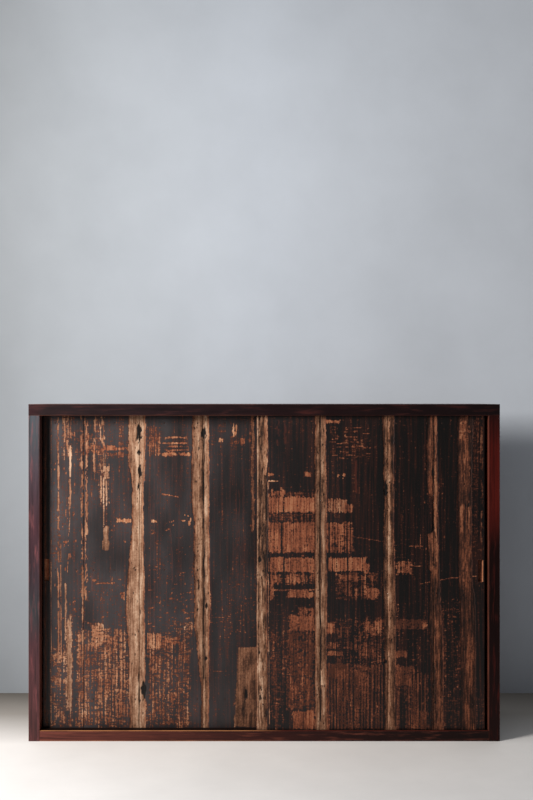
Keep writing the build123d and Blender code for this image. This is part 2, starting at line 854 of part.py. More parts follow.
# ---- All pieces by node name -------------------------------------------------------------------
nodes = {
    "head_rail": head_rail.part,
    "top_back_rail": top_back_rail.part,
    "top_bearers": top_bearers.part,
    "top_nails": nail_group(top_nail, top_nail_places),
    "sill": sill.part,
    "bottom_back_rail": back_rail(bottom_rail_middle_z, sill_height, True),
    "middle_back_rail": back_rail(middle_rail_centre_z, middle_rail_height, False),
    "floor_bearers": floor_bearers.part,
    "back_boards": back_boards.part,
    "back_nails": nail_group(back_nail, back_nail_places),
    "tenon_wedges": tenon_wedges.part,
}
for side_name, side in sides.items():
    nodes[f"front_{side_name}_post"] = front_post(side)
    nodes[f"back_{side_name}_post"] = back_post(side)
    nodes[f"top_{side_name}_rail"] = top_end_rail(side)
    nodes[f"bottom_{side_name}_rail"] = side_rail(
        side, bottom_rail_middle_z, sill_height, (sill_height,)
    )
    nodes[f"middle_{side_name}_rail"] = side_rail(
        side, middle_rail_centre_z, middle_rail_height, (middle_rail_under_z, middle_rail_top_z)
    )
    for field in panel_levels:
        nodes[f"{field}_{side_name}_panel"] = side_panel(side, field)
for index in range(top_board_count):
    nodes[f"top_board_{index + 1}"] = top_board(index)
for index in range(floor_board_count):
    nodes[f"floor_board_{index + 1}"] = floor_board(index)
for shelf, top in shelf_tops.items():
    nodes[f"{shelf}_shelf_ledgers"] = shelf_ledgers(top)
    nodes[f"{shelf}_shelf_front_rail"] = shelf_long_rail(
        top, shelf_front_rail_y, shelf_front_rail_thickness, shelf_bearer_front_y, -1
    )
    nodes[f"{shelf}_shelf_back_rail"] = shelf_long_rail(
        top, shelf_back_rail_y, shelf_back_rail_thickness, shelf_bearer_back_y, 1
    )
    nodes[f"{shelf}_shelf_bearers"] = shelf_bearers(top)
    nodes[f"{shelf}_shelf_boards"] = shelf_boards(top)
nodes |= door_pieces(
    "left_door",
    left_edges,
    rear_door_y,
    joint_strips(left_edges, left_strips),
    left_nail_shares,
    left_bottom_ledge_rise,
    left_edges[0] + pull_offset,
)
nodes |= door_pieces(
    "right_door",
    right_edges,
    front_door_y,
    right_door_strips,
    right_nail_shares,
    right_bottom_ledge_rise,
    right_edges[-1] - pull_offset,
)

os.makedirs("parts", exist_ok=True)
for label, part in nodes.items():
    part.label = label
    export_step(part, f"parts/{label}.step")
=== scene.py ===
"""Finish and surroundings of a mizuya kitchen cabinet with two worn, lacquered board doors.

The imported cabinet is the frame. Its eight door boards are replaced by surfaces worked out on a
grid, which carry the wear of the lacquer as relief and as named layers that their material reads.
Every other piece keeps its shape and gets its finish here. Lengths are in millimetres up to the
mesh, where they turn to metres, and the lamp's and the camera's are in metres from the start. Door
places are from the door's left edge and above the floor.
"""

from __future__ import annotations

import logging
import math
import re
from dataclasses import dataclass
from enum import Enum
from typing import Any, Mapping, Sequence

import bpy
import numpy as np
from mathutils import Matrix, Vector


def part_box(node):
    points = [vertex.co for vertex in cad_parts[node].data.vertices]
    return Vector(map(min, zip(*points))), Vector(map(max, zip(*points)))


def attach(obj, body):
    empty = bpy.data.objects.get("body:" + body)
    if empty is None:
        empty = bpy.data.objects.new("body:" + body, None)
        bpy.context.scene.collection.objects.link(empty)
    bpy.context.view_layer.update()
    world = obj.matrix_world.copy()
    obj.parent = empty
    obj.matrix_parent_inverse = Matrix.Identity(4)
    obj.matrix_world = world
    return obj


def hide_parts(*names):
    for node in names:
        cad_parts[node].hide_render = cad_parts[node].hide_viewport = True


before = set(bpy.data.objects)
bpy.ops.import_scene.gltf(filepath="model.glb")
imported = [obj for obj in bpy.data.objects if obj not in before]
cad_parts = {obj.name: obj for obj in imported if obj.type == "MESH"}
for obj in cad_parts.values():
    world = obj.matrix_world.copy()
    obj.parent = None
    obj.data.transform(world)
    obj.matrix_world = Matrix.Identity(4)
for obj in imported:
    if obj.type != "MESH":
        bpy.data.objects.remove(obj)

log = logging.getLogger("mizuya")

METRES = 0.001  # metres in a millimetre
BACK_BOARDS = 8
UNSHADED_LIP = 7.0  # how deep the strip behind the sill's front face is that the painted shade over the grooves leaves out
EVERYWHERE = (-1e4, 1e4, -1e4, 1e4)  # bounds that lie past every door's

# Settings, sockets and ranges that many nodes share
EASED = {"interpolation_type": "SMOOTHSTEP"}
BLEND = {"data_type": "RGBA"}
FACTOR, UNDER, OVER, BLENDED = 0, 6, 7, 2  # a colour blend's inputs, and its output
MIDDLE = {"From Min": 0.3, "From Max": 0.7}  # where most of a random pattern's values lie
SHOWS = (0.05, 0.4)  # the wear from which bare wood has its own look, and at which it has all of it

Array = np.ndarray
Pair = tuple[float, float]
Bounds = tuple[float, float, float, float]  # left, right, foot and head
Window = tuple[slice, slice]  # rows and columns
Stops = Sequence[tuple[float, str]]  # places, and hex colours
Socket = bpy.types.NodeSocket
Tree = bpy.types.NodeTree


# ---- Shared helpers ----------------------------------------------------------------------------
def linear(code: str) -> tuple[float, float, float, float]:
    """Turns an sRGB hex colour into a linear one.

    Args:
        code: The colour as "#rrggbb".

    Returns:
        The linear red, green and blue, and a full alpha.
    """
    channels = [int(code[start : start + 2], 16) / 255 for start in (1, 3, 5)]
    red, green, blue = (
        value / 12.92 if value <= 0.04045 else ((value + 0.055) / 1.055) ** 2.4
        for value in channels
    )
    return red, green, blue, 1.0


def set_ramp(ramp: bpy.types.ColorRamp, stops: Stops) -> None:
    """Gives a colour ramp its stops.

    Args:
        ramp: The ramp of a node.
        stops: The place of each stop from 0 to 1, and its hex colour.
    """
    while len(ramp.elements) < len(stops):
        ramp.elements.new(1.0)
    for element, (place, code) in zip(ramp.elements, stops):
        element.position = place
        element.color = linear(code)


def add_node(
    tree: Tree,
    kind: str,
    settings: Mapping[str, Any] | None = None,
    values: Mapping[str | int, Any] | None = None,
    links: Mapping[str | int, Socket] | None = None,
    out: str | int = 0,
) -> Socket | None:
    """Adds a node with its settings, socket values and links.

    Args:
        tree: The tree that gets the node.
        kind: The node's Blender type, less the "ShaderNode" before it.
        settings: Properties of the node itself, with a ramp's stops as "color_ramp".
        values: Values of its input sockets, by name or number.
        links: Output sockets that feed its inputs, by name or number.
        out: The output that is wanted, by name or number.

    Returns:
        That output, or None where the node has no output.
    """
    node = tree.nodes.new(f"ShaderNode{kind}")
    for name, value in (settings or {}).items():
        if name == "color_ramp":
            set_ramp(node.color_ramp, value)
        else:
            setattr(node, name, value)
    for socket, value in (values or {}).items():
        node.inputs[socket].default_value = value
    for socket, source in (links or {}).items():
        tree.links.new(source, node.inputs[socket])
    return node.outputs[out] if node.outputs else None


def start_tree(owner: bpy.types.Material | bpy.types.World) -> Tree:
    """Gives a new material or world an empty node tree.

    Args:
        owner: The material or world.

    Returns:
        The tree.
    """
    owner.use_nodes = True
    owner.node_tree.nodes.clear()
    return owner.node_tree


def cells(tree: Tree, place: Socket, size: Sequence[float], detail: float, rough: float) -> Socket:
    """Adds a random pattern with cells of a given size.

    Args:
        tree: The tree that gets it.
        place: The object's coordinates.
        size: A cell's size along X, Y and Z in millimetres.
        detail: How many finer patterns are added to it.
        rough: How strong they are.

    Returns:
        The pattern, mostly from 0.3 to 0.7.
    """
    scale = [1 / (length * METRES) for length in size]
    place = add_node(tree, "Mapping", values={"Scale": scale}, links={"Vector": place})
    values = {"Scale": 1.0, "Detail": detail, "Roughness": rough}
    return add_node(tree, "TexNoise", values=values, links={"Vector": place}, out="Fac")


def spread(tree: Tree, spot: Socket, shades: Stops) -> tuple[Socket, Socket]:
    """Spreads colours along one axis.

    Args:
        tree: The tree that gets the nodes.
        spot: The coordinate along that axis.
        shades: Places on it in millimetres, and their colours.

    Returns:
        The colour, and the share of the way from the first place to the last.
    """
    first, last = shades[0][0], shades[-1][0]
    ends = {"From Min": first * METRES, "From Max": last * METRES}
    share = add_node(tree, "MapRange", values=ends, links={"Value": spot})
    stops = [((at - first) / (last - first), code) for at, code in shades]
    return add_node(tree, "ValToRGB", {"color_ramp": stops}, links={"Fac": share}), share


def link_object(name: str, data: Any) -> bpy.types.Object:
    """Makes an object at the origin.

    Args:
        name: Its name.
        data: Its mesh, lamp or camera.

    Returns:
        The object, linked to the scene.
    """
    thing = bpy.data.objects.new(name, data)
    bpy.context.scene.collection.objects.link(thing)
    return thing


def smooth(low: float, high: float, value: Array) -> Array:
    """A smooth rise from 0 at low to 1 at high: three times the square less twice the cube."""
    share = np.clip((value - low) / (high - low), 0.0, 1.0)
    return share * share * (3.0 - 2.0 * share)


def noise(seed: int, x: Array | float, z: Array, *octaves: Sequence[float]) -> Array:
    """Smooth random values over a plane, the same on each run.

    The value at a point is a blend of the random numbers at the four lattice points round it,
    with smoothed shares of the way between them.

    Args:
        seed: The first octave's seed, and one less than the next one's.
        x: Places across, which broadcast with z.
        z: Places up.
        octaves: The width and height of each octave's cells, and its share, or 1 if left out.

    Returns:
        The sum of the octaves, each from -1 to 1 times its share.
    """
    total, points = 0.0, 256
    for number, (cell_x, cell_z, *share) in enumerate(octaves):
        table = np.random.default_rng(seed + number).uniform(-1.0, 1.0, (points, points))
        u, v = x / cell_x, z / cell_z
        column, row = np.floor(u).astype(int), np.floor(v).astype(int)
        across, up = smooth(0.0, 1.0, u - column), smooth(0.0, 1.0, v - row)
        left, right = column % points, (column + 1) % points
        low, high = row % points, (row + 1) % points
        foot = table[low, left] * (1 - across) + table[low, right] * across
        head = table[high, left] * (1 - across) + table[high, right] * across
        total = total + (foot * (1 - up) + head * up) * (share[0] if share else 1.0)
    return total


def between(places: Array, rows: Sequence[Pair]) -> Array:
    """The values at some places, straight between the rows of a table of places and values."""
    return np.interp(places, *np.array(rows, float).T)


# ---- The painted layers of a door --------------------------------------------------------------
class Layer(Enum):
    """What a door board's surface holds at each point, each kept from 0 to 1."""

    WEAR = "wear"  # how far the lacquer is worn through
    TONE = "tone"  # the bare wood, from dark brown to pale straw
    RAW = "raw"  # the bare wood's age, from fresh under the lacquer to grey
    RED = "red"  # lacquer worn thin enough to show red
    HAZE = "haze"  # painted sheen: a grey reflection of the light, painted on the lacquer
    VOID = "void"  # the dark of a crack or a hole, and painted shadow


class Skin:
    """The layers and the relief of one door board, on the grid of its front."""

    def __init__(self, x: Array, z: Array, seed: int) -> None:
        """Starts as sound lacquer on a flat face.

        Args:
            x: The grid's columns, from the door's left edge.
            z: The grid's rows, above the floor.
            seed: Seed of everything random on this door.
        """
        self.columns, self.rows, self.seed = x, z, seed
        self.layers = {layer: np.zeros((z.size, x.size)) for layer in Layer}
        self.sunk = np.zeros((z.size, x.size))

    def window(self, x0: float, x1: float, z0: float, z1: float) -> Window:
        """The rows and columns that lie between the given places."""
        across = slice(*np.searchsorted(self.columns, (x0, x1)))
        return slice(*np.searchsorted(self.rows, (z0, z1))), across

    def grid(self, part: Window) -> tuple[Array, Array]:
        """The places of a window's columns and rows, ready to broadcast."""
        return self.columns[None, part[1]], self.rows[part[0], None]

    def lay(self, part: Window, layer: Layer, value: float, mask: Array | float) -> None:
        """Moves a layer towards a value by a mask."""
        area = self.layers[layer][part]
        area += (value - area) * mask

    def raise_to(self, part: Window, layer: Layer, mask: Array) -> None:
        """Keeps the larger of a layer and a mask."""
        area = self.layers[layer][part]
        np.maximum(area, mask, out=area)

    def rub(
        self, part: Window, mask: Array, layer: Layer, tone: float, raw: float | None = None
    ) -> None:
        """Raises a layer, and where that is the wear, gives the wood that shows its look.

        Args:
            part: The window.
            mask: How far the layer is raised.
            layer: The layer.
            tone: The bare wood's tone.
            raw: How grey it is, or None to leave that as it is.
        """
        if layer is Layer.WEAR:
            shows = smooth(*SHOWS, mask)
            self.lay(part, Layer.TONE, tone, shows)
            if raw is not None:
                self.lay(part, Layer.RAW, raw, shows)
        self.raise_to(part, layer, mask)

    def sink(self, part: Window, depth: Array) -> None:
        """Keeps the deeper of the relief and a depth."""
        area = self.sunk[part]
        np.maximum(area, depth, out=area)


class Mark:
    """A mark on a door, which is painted on the skin of each board that it can reach.

    Each random pattern in it has its own seed: the door's or the mark's, plus a number that no
    other pattern adds.
    """

    def bounds(self) -> Bounds:
        """How far the mark can reach."""
        raise NotImplementedError

    def paint(self, skin: Skin, part: Window) -> None:
        """Paints the mark.

        Args:
            skin: The board's skin.
            part: The mark's window on it.
        """
        raise NotImplementedError


@dataclass(frozen=True)
class Patch(Mark):
    """An area rubbed bare, with ragged edges and lacquer left in upright lines.

    The distance into the rectangle, with noise added to it, rises smoothly over the soft edge.
    Lines take away from that: they are the peaks of a cosine across the boards.
    """

    x: Pair
    z: Pair
    tone: float = 0.5  # of the bare wood, as in Layer
    wear: float = 0.8
    rag: float = 6.0  # how far the edge wanders
    soft: float = 5.0  # how wide the edge is
    line_pitch: float = 0.0  # between dark upright lines, or 0 for none
    line_depth: float = 0.5  # share taken away in them
    mottle: float = 0.25  # share taken away by blotches
    row_pitch: float = 0.0  # between dark lines that lie level, or 0 for none
    row_depth: float = 0.5
    jitter: float = 0.9  # how unevenly the lines stand, in pitches
    raw: float = 0.0  # how grey the bare wood is
    clump: float = 0.0  # share taken away between larger clusters
    lean: float = 0.0  # how far the left edge leans inwards from its foot to its head
    fade: Bounds = (0.0, 0.0, 0.0, 0.0)  # how far it thins out from each side
    narrow: float = 0.45  # how thin the lines are, from 0 for half the pitch
    layer: Layer = Layer.WEAR
    faded: float = 0.15  # share that is left at a side where it thins out

    def bounds(self) -> Bounds:
        """How far the patch can reach: its rectangle, with the edge round it."""
        reach = self.rag + self.soft
        return self.x[0] - reach, self.x[1] + reach, self.z[0] - reach, self.z[1] + reach

    def paint(self, skin: Skin, part: Window) -> None:
        """Paints the patch.

        Args:
            skin: The board's skin.
            part: The patch's window on it.
        """
        x, z = skin.grid(part)
        edge = noise(skin.seed + 60, x, z, (5, 13, 0.6), (19, 7, 0.7), (4, 5, 0.5))
        left = self.x[0] + self.lean * (z - self.z[0]) / (self.z[1] - self.z[0])
        sides = (x - left, self.x[1] - x, z - self.z[0], self.z[1] - z)
        inside = np.minimum(np.minimum(*sides[:2]), np.minimum(*sides[2:]))
        mask = smooth(-self.soft, self.soft, inside + self.rag * edge) * self.wear
        for away, fade in zip(sides, self.fade):
            if fade:
                rise = smooth(-0.3, 1.0, away / fade + 0.3 * edge)
                mask = mask * (self.faded + (1 - self.faded) * rise)
        if self.clump:
            clump = noise(skin.seed + 16, x, z, (34, 26), (13, 19, 0.7))
            mask = mask * (1 - self.clump * smooth(-0.5, 0.6, clump))
        # Upright lines sway slowly along the grain, and level ones sway more
        lines = (x, self.line_pitch, self.line_depth, 27.0, 700.0, self.jitter)
        rows = (z, self.row_pitch, self.row_depth, 70.0, 31.0, 2.4 * self.jitter)
        for main, pitch, depth, cell_x, cell_z, jitter in (lines, rows):
            if pitch:
                wander = noise(skin.seed + 13, x, z, (cell_x, cell_z)) * jitter
                share = 0.5 + 0.5 * np.cos(2 * math.pi * (main / pitch + wander))
                force = 0.7 + 0.6 * noise(skin.seed + 15, x, z, (cell_x / 2, cell_z / 2))
                mask = mask * (1 - depth * force * smooth(self.narrow, self.narrow + 0.52, share))
        mask = mask * (1 - self.mottle * smooth(-0.2, 0.9, noise(skin.seed + 14, x, z, (8, 10))))
        skin.rub(part, mask, self.layer, self.tone, self.raw)


@dataclass(frozen=True)
class Streak(Mark):
    """A worn line along the grain between two heights, which wanders, thins and breaks up.

    The distance from the wandering middle line, over half the changing width, falls from 1 to 0.
    """

    foot: Pair
    head: Pair
    width: float
    tone: float = 0.6
    wear: float = 0.85
    gaps: float = 0.35  # share of its length that is missing
    wander: float = 1.5
    layer: Layer = Layer.WEAR
    raw: float = 0.6
    end: float = 7.0  # how far its ends fade, either side of them
    stray: float = 5.0  # how far its ends stray

    def bounds(self) -> Bounds:
        """Works out how far the streak can reach: its line, with its width and wander round it.

        Returns:
            Its bounds.
        """
        left, right = sorted((self.foot[0], self.head[0]))
        reach = self.width + self.wander + 4.0
        return left - reach, right + reach, self.foot[1] - 6, self.head[1] + 6

    def paint(self, skin: Skin, part: Window) -> None:
        """Paints the streak.

        Args:
            skin: The board's skin.
            part: The streak's window on it.
        """
        (x0, z0), (x1, z1) = self.foot, self.head
        x, z = skin.grid(part)
        middle = x0 + (x1 - x0) * (z - z0) / (z1 - z0)
        middle = middle + self.wander * noise(skin.seed + 21, self.width + x0, z, (1, 45))
        fray = noise(skin.seed + 22, x, z, (3, 16))
        half = self.width / 2 * (1 + 0.5 * fray)
        mask = 1 - smooth(0.55, 1.25, np.abs(x - middle) / np.maximum(half, 0.3))
        inside = np.minimum(z - z0, z1 - z) + self.stray * fray
        mask = mask * smooth(-self.end, self.end, inside)
        broken = noise(skin.seed + 23, x + x0, z, (6, 22, 0.6))
        broken = broken + noise(skin.seed + 24, x, z, (3, 7, 0.4))
        mask = mask * smooth(2 * self.gaps - 1.05, 2 * self.gaps - 0.75, broken) * self.wear
        skin.rub(part, mask, self.layer, self.tone, self.raw)


@dataclass(frozen=True)
class Specks(Mark):
    """Small rubbed spots scattered over an area, longer one way than the other.

    Each is an ellipse: one less the squares of the distances over its half axes.
    """

    x: Pair
    z: Pair
    count: int
    size: Pair  # typical width and height
    seed: int
    tone: float = 0.45
    wear: float = 0.7
    variety: float = 0.45  # how much their sizes differ

    def bounds(self) -> Bounds:
        """How far the spots can reach: anywhere, as each has its own window."""
        return EVERYWHERE

    def paint(self, skin: Skin, part: Window) -> None:
        """Paints the spots, each in a window of its own.

        Args:
            skin: The board's skin.
            part: The whole of it.
        """
        draw = np.random.default_rng(self.seed)
        middles_x = draw.uniform(*self.x, self.count)
        middles_z = draw.uniform(*self.z, self.count)
        halves = draw.lognormal(0.0, self.variety, (self.count, 2)) * np.array(self.size) / 2
        for at_x, at_z, (half_x, half_z) in zip(middles_x, middles_z, halves):
            spot = skin.window(at_x - half_x, at_x + half_x, at_z - half_z, at_z + half_z)
            x, z = skin.grid(spot)
            inside = 1 - ((x - at_x) / half_x) ** 2 - ((z - at_z) / half_z) ** 2
            skin.rub(spot, smooth(0.0, 0.6, inside) * self.wear, Layer.WEAR, self.tone)


@dataclass(frozen=True)
class Scratch(Mark):
    """A straight mark between two points: its mask falls with the distance from the segment."""

    start: Pair
    end: Pair
    width: float = 3.0
    tone: float = 0.6
    wear: float = 0.85

    def bounds(self) -> Bounds:
        """How far the scratch can reach: the box of its ends, with its width round it."""
        (left, right), (foot, head) = (sorted(pair) for pair in zip(self.start, self.end))
        return left - self.width, right + self.width, foot - self.width, head + self.width

    def paint(self, skin: Skin, part: Window) -> None:
        """Paints the scratch.

        Args:
            skin: The board's skin.
            part: The scratch's window on it.
        """
        (x0, z0), (x1, z1) = self.start, self.end
        x, z = skin.grid(part)
        length = math.hypot(x1 - x0, z1 - z0)
        share = ((x - x0) * (x1 - x0) + (z - z0) * (z1 - z0)) / length**2
        share = np.clip(share, 0.0, 1.0)
        away = np.hypot(x - x0 - share * (x1 - x0), z - z0 - share * (z1 - z0))
        mask = (1 - smooth(0.3, 1.0, away / self.width)) * self.wear
        skin.rub(part, mask, Layer.WEAR, self.tone)


@dataclass(frozen=True)
class Cavity(Mark):
    """A knot hole, worm gallery or chip: an ellipse with a ragged rim, dark and sunk."""

    x: Pair
    z: Pair
    depth: float = 2.6
    rag: float = 0.45  # how far its rim wanders, as a share of its half width

    def bounds(self) -> Bounds:
        """How far the hole can reach: its box, with the rim round it."""
        return self.x[0] - 4, self.x[1] + 4, self.z[0] - 6, self.z[1] + 6

    def paint(self, skin: Skin, part: Window) -> None:
        """Sinks the hole.

        Args:
            skin: The board's skin.
            part: The hole's window on it.
        """
        x, z = skin.grid(part)
        half_x, half_z = (self.x[1] - self.x[0]) / 2, (self.z[1] - self.z[0]) / 2
        shares = (x - sum(self.x) / 2) / half_x, (z - sum(self.z) / 2) / half_z
        rim = self.rag * noise(skin.seed + 31, x, z, (4, 9))
        mask = 1 - smooth(0.65, 1.05, np.sqrt(shares[0] ** 2 + shares[1] ** 2) + rim)
        skin.raise_to(part, Layer.VOID, mask)
        skin.sink(part, self.depth * mask)


@dataclass(frozen=True)
class Strip(Mark):
    """Bare, worm-eaten wood where a cover batten has come away from a joint of the boards.

    Its edges follow a list of shifts at given heights, with noise. Inside them the face lies
    lower, fibres and galleries run up it, and a crack may.
    """

    middle: float
    width: float
    seed: int
    tone: float = 0.62
    contrast: float = 0.3
    edges: tuple[tuple[float, float, float], ...] = ((0, 0, 0),)  # height, shifts left and right
    crack: Pair | None = None  # the heights between which the joint gapes
    crack_x: float = 0.0  # its place from the strip's middle
    galleries: float = 0.0  # how many worm galleries, from none at -0.6
    depth: float = 0.8
    wear: float = 1.0
    profile: tuple[Pair, ...] = (  # share of the way across, and shift of the tone
        (0.0, -0.12), (0.35, 0.08), (0.65, 0.08), (1.0, -0.12),
    )
    along: tuple[Pair, ...] = ((0.0, 0.0),)  # height, and shift of the tone
    raw: float = 1.0
    nibble: float = 1.6  # how far its edges are nibbled
    soft: float = 1.8  # how wide its edges are
    margin: float = 9.0  # how far inside its edges it is fresher and less eaten
    gallery_depth: float = 1.5
    crack_depth: float = 3.0
    crack_end: float = 12.0  # how far the crack fades towards its ends
    crack_half: float = 1.9  # half the crack's width
    crack_sway: float = 1.5  # how much that changes

    def bounds(self) -> Bounds:
        """How far the strip can reach: the door's whole height, and its width with its shifts."""
        reach = self.width / 2 + 14
        return self.middle - reach, self.middle + reach, *EVERYWHERE[2:]

    def paint(self, skin: Skin, part: Window) -> None:
        """Paints the strip.

        Args:
            skin: The board's skin.
            part: The strip's window on it.
        """
        x, z = skin.grid(part)
        heights, *shifts = np.array(self.edges, float).T
        left, right = (
            self.middle + side * self.width / 2 + np.interp(z, heights, shift)
            for side, shift in zip((-1, 1), shifts)
        )
        # The edges sway slowly, and less the shorter the sway
        for cell, sway in ((70.0, 2.0), (17.0, 1.2), (6.0, 0.7)):
            left = left + sway * noise(self.seed + 1, self.middle * 7.0, z, (1, cell))
            right = right + sway * noise(self.seed + 2, self.middle * 7.0, z, (1, cell))
        inside = np.minimum(x - left, right - x)
        nibbled = inside + self.nibble * noise(self.seed + 10, x, z, (4, 9))
        mask = smooth(-self.soft, self.soft, nibbled)
        fibre = noise(self.seed + 3, x, z, (3.3, 30))
        ridge = noise(self.seed + 4, x, z, (6, 90))
        blotch = noise(self.seed + 5, x, z, (7, 17))
        shade = self.tone + between((x - left) / (right - left), self.profile)
        shade = shade + between(z, self.along)
        shade = shade + self.contrast * (0.55 * fibre + 0.3 * ridge + 0.25 * blotch)
        np.copyto(skin.layers[Layer.TONE][part], np.clip(shade, 0.0, 1.0), where=mask > 0.02)
        margin = smooth(0.0, self.margin, inside)
        skin.lay(part, Layer.RAW, self.raw, mask * (0.45 + 0.55 * margin))
        skin.raise_to(part, Layer.WEAR, mask * self.wear)
        gallery = noise(self.seed + 6, x, z, (3.2, 15), (4.5, 6, 0.6))
        eaten = smooth(1.0, 1.25, gallery + self.galleries) * margin * mask
        skin.raise_to(part, Layer.VOID, 0.95 * eaten)
        low = self.depth * mask + mask * np.clip(0.35 - 0.35 * fibre - 0.25 * ridge, 0.0, 0.9)
        skin.sink(part, low + self.gallery_depth * eaten)
        if self.crack is not None:
            self.open_crack(skin, part)

    def open_crack(self, skin: Skin, part: Window) -> None:
        """Opens the crack along the strip, which wanders and changes in width.

        Args:
            skin: The board's skin.
            part: The strip's window on it.
        """
        x, z = skin.grid(part)
        key = self.middle * 3.0
        middle = self.middle + self.crack_x
        for cell, sway in ((130.0, 2.6), (35.0, 1.4)):
            middle = middle + sway * noise(self.seed + 8, key, z, (1, cell))
        half = self.crack_half + self.crack_sway * noise(self.seed + 9, key, z, (1, 28))
        dark = 1 - smooth(0.5, 1.2, np.abs(x - middle) / np.maximum(half, 0.4))
        inside = np.minimum(z - self.crack[0], self.crack[1] - z)
        dark = dark * smooth(0.0, self.crack_end, inside)
        skin.raise_to(part, Layer.VOID, dark)
        skin.sink(part, self.crack_depth * dark)


# ---- Finishes ----------------------------------------------------------------------------------
@dataclass(frozen=True)
class Surface:
    """What a finish draws: its colour in coats, and what its shader and fine relief get."""

    base: Socket  # the colour under all coats
    coats: Sequence[tuple[Socket, str | Socket]]  # how much each covers, and its colour
    height: Socket
    force: float  # how strongly the relief shows, from 0 to 1
    depth: float  # how deep the relief is
    values: Mapping[str, float]  # what is the same all over
    links: Mapping[str, Socket]  # what changes over the surface


@dataclass(frozen=True)
class Finish:
    """A finish, which is made a material of the same name."""

    name: str

    def surface(self, tree: Tree, place: Socket) -> Surface:
        """Draws the finish's own pattern.

        Args:
            tree: The material's tree.
            place: The object's coordinates in it.

        Returns:
            What the material is built from.
        """
        raise NotImplementedError

    def make(self) -> bpy.types.Material:
        """Builds the material: the coats over the base colour, with the fine relief.

        Returns:
            The finished material.
        """
        material = bpy.data.materials.new(self.name)
        tree = start_tree(material)
        look = self.surface(tree, add_node(tree, "TexCoord", out="Object"))
        colour = look.base
        for share, coat in look.coats:
            values, links = {}, {FACTOR: share, UNDER: colour}
            if isinstance(coat, str):
                values[OVER] = linear(coat)
            else:
                links[OVER] = coat
            colour = add_node(tree, "Mix", BLEND, values, links, BLENDED)
        relief = {"Strength": look.force, "Distance": look.depth * METRES}
        bump = add_node(tree, "Bump", None, relief, {"Height": look.height})
        links = {"Base Color": colour, "Normal": bump, **look.links}
        shader = add_node(tree, "BsdfPrincipled", None, look.values, links)
        add_node(tree, "OutputMaterial", links={"Surface": shader})
        return material


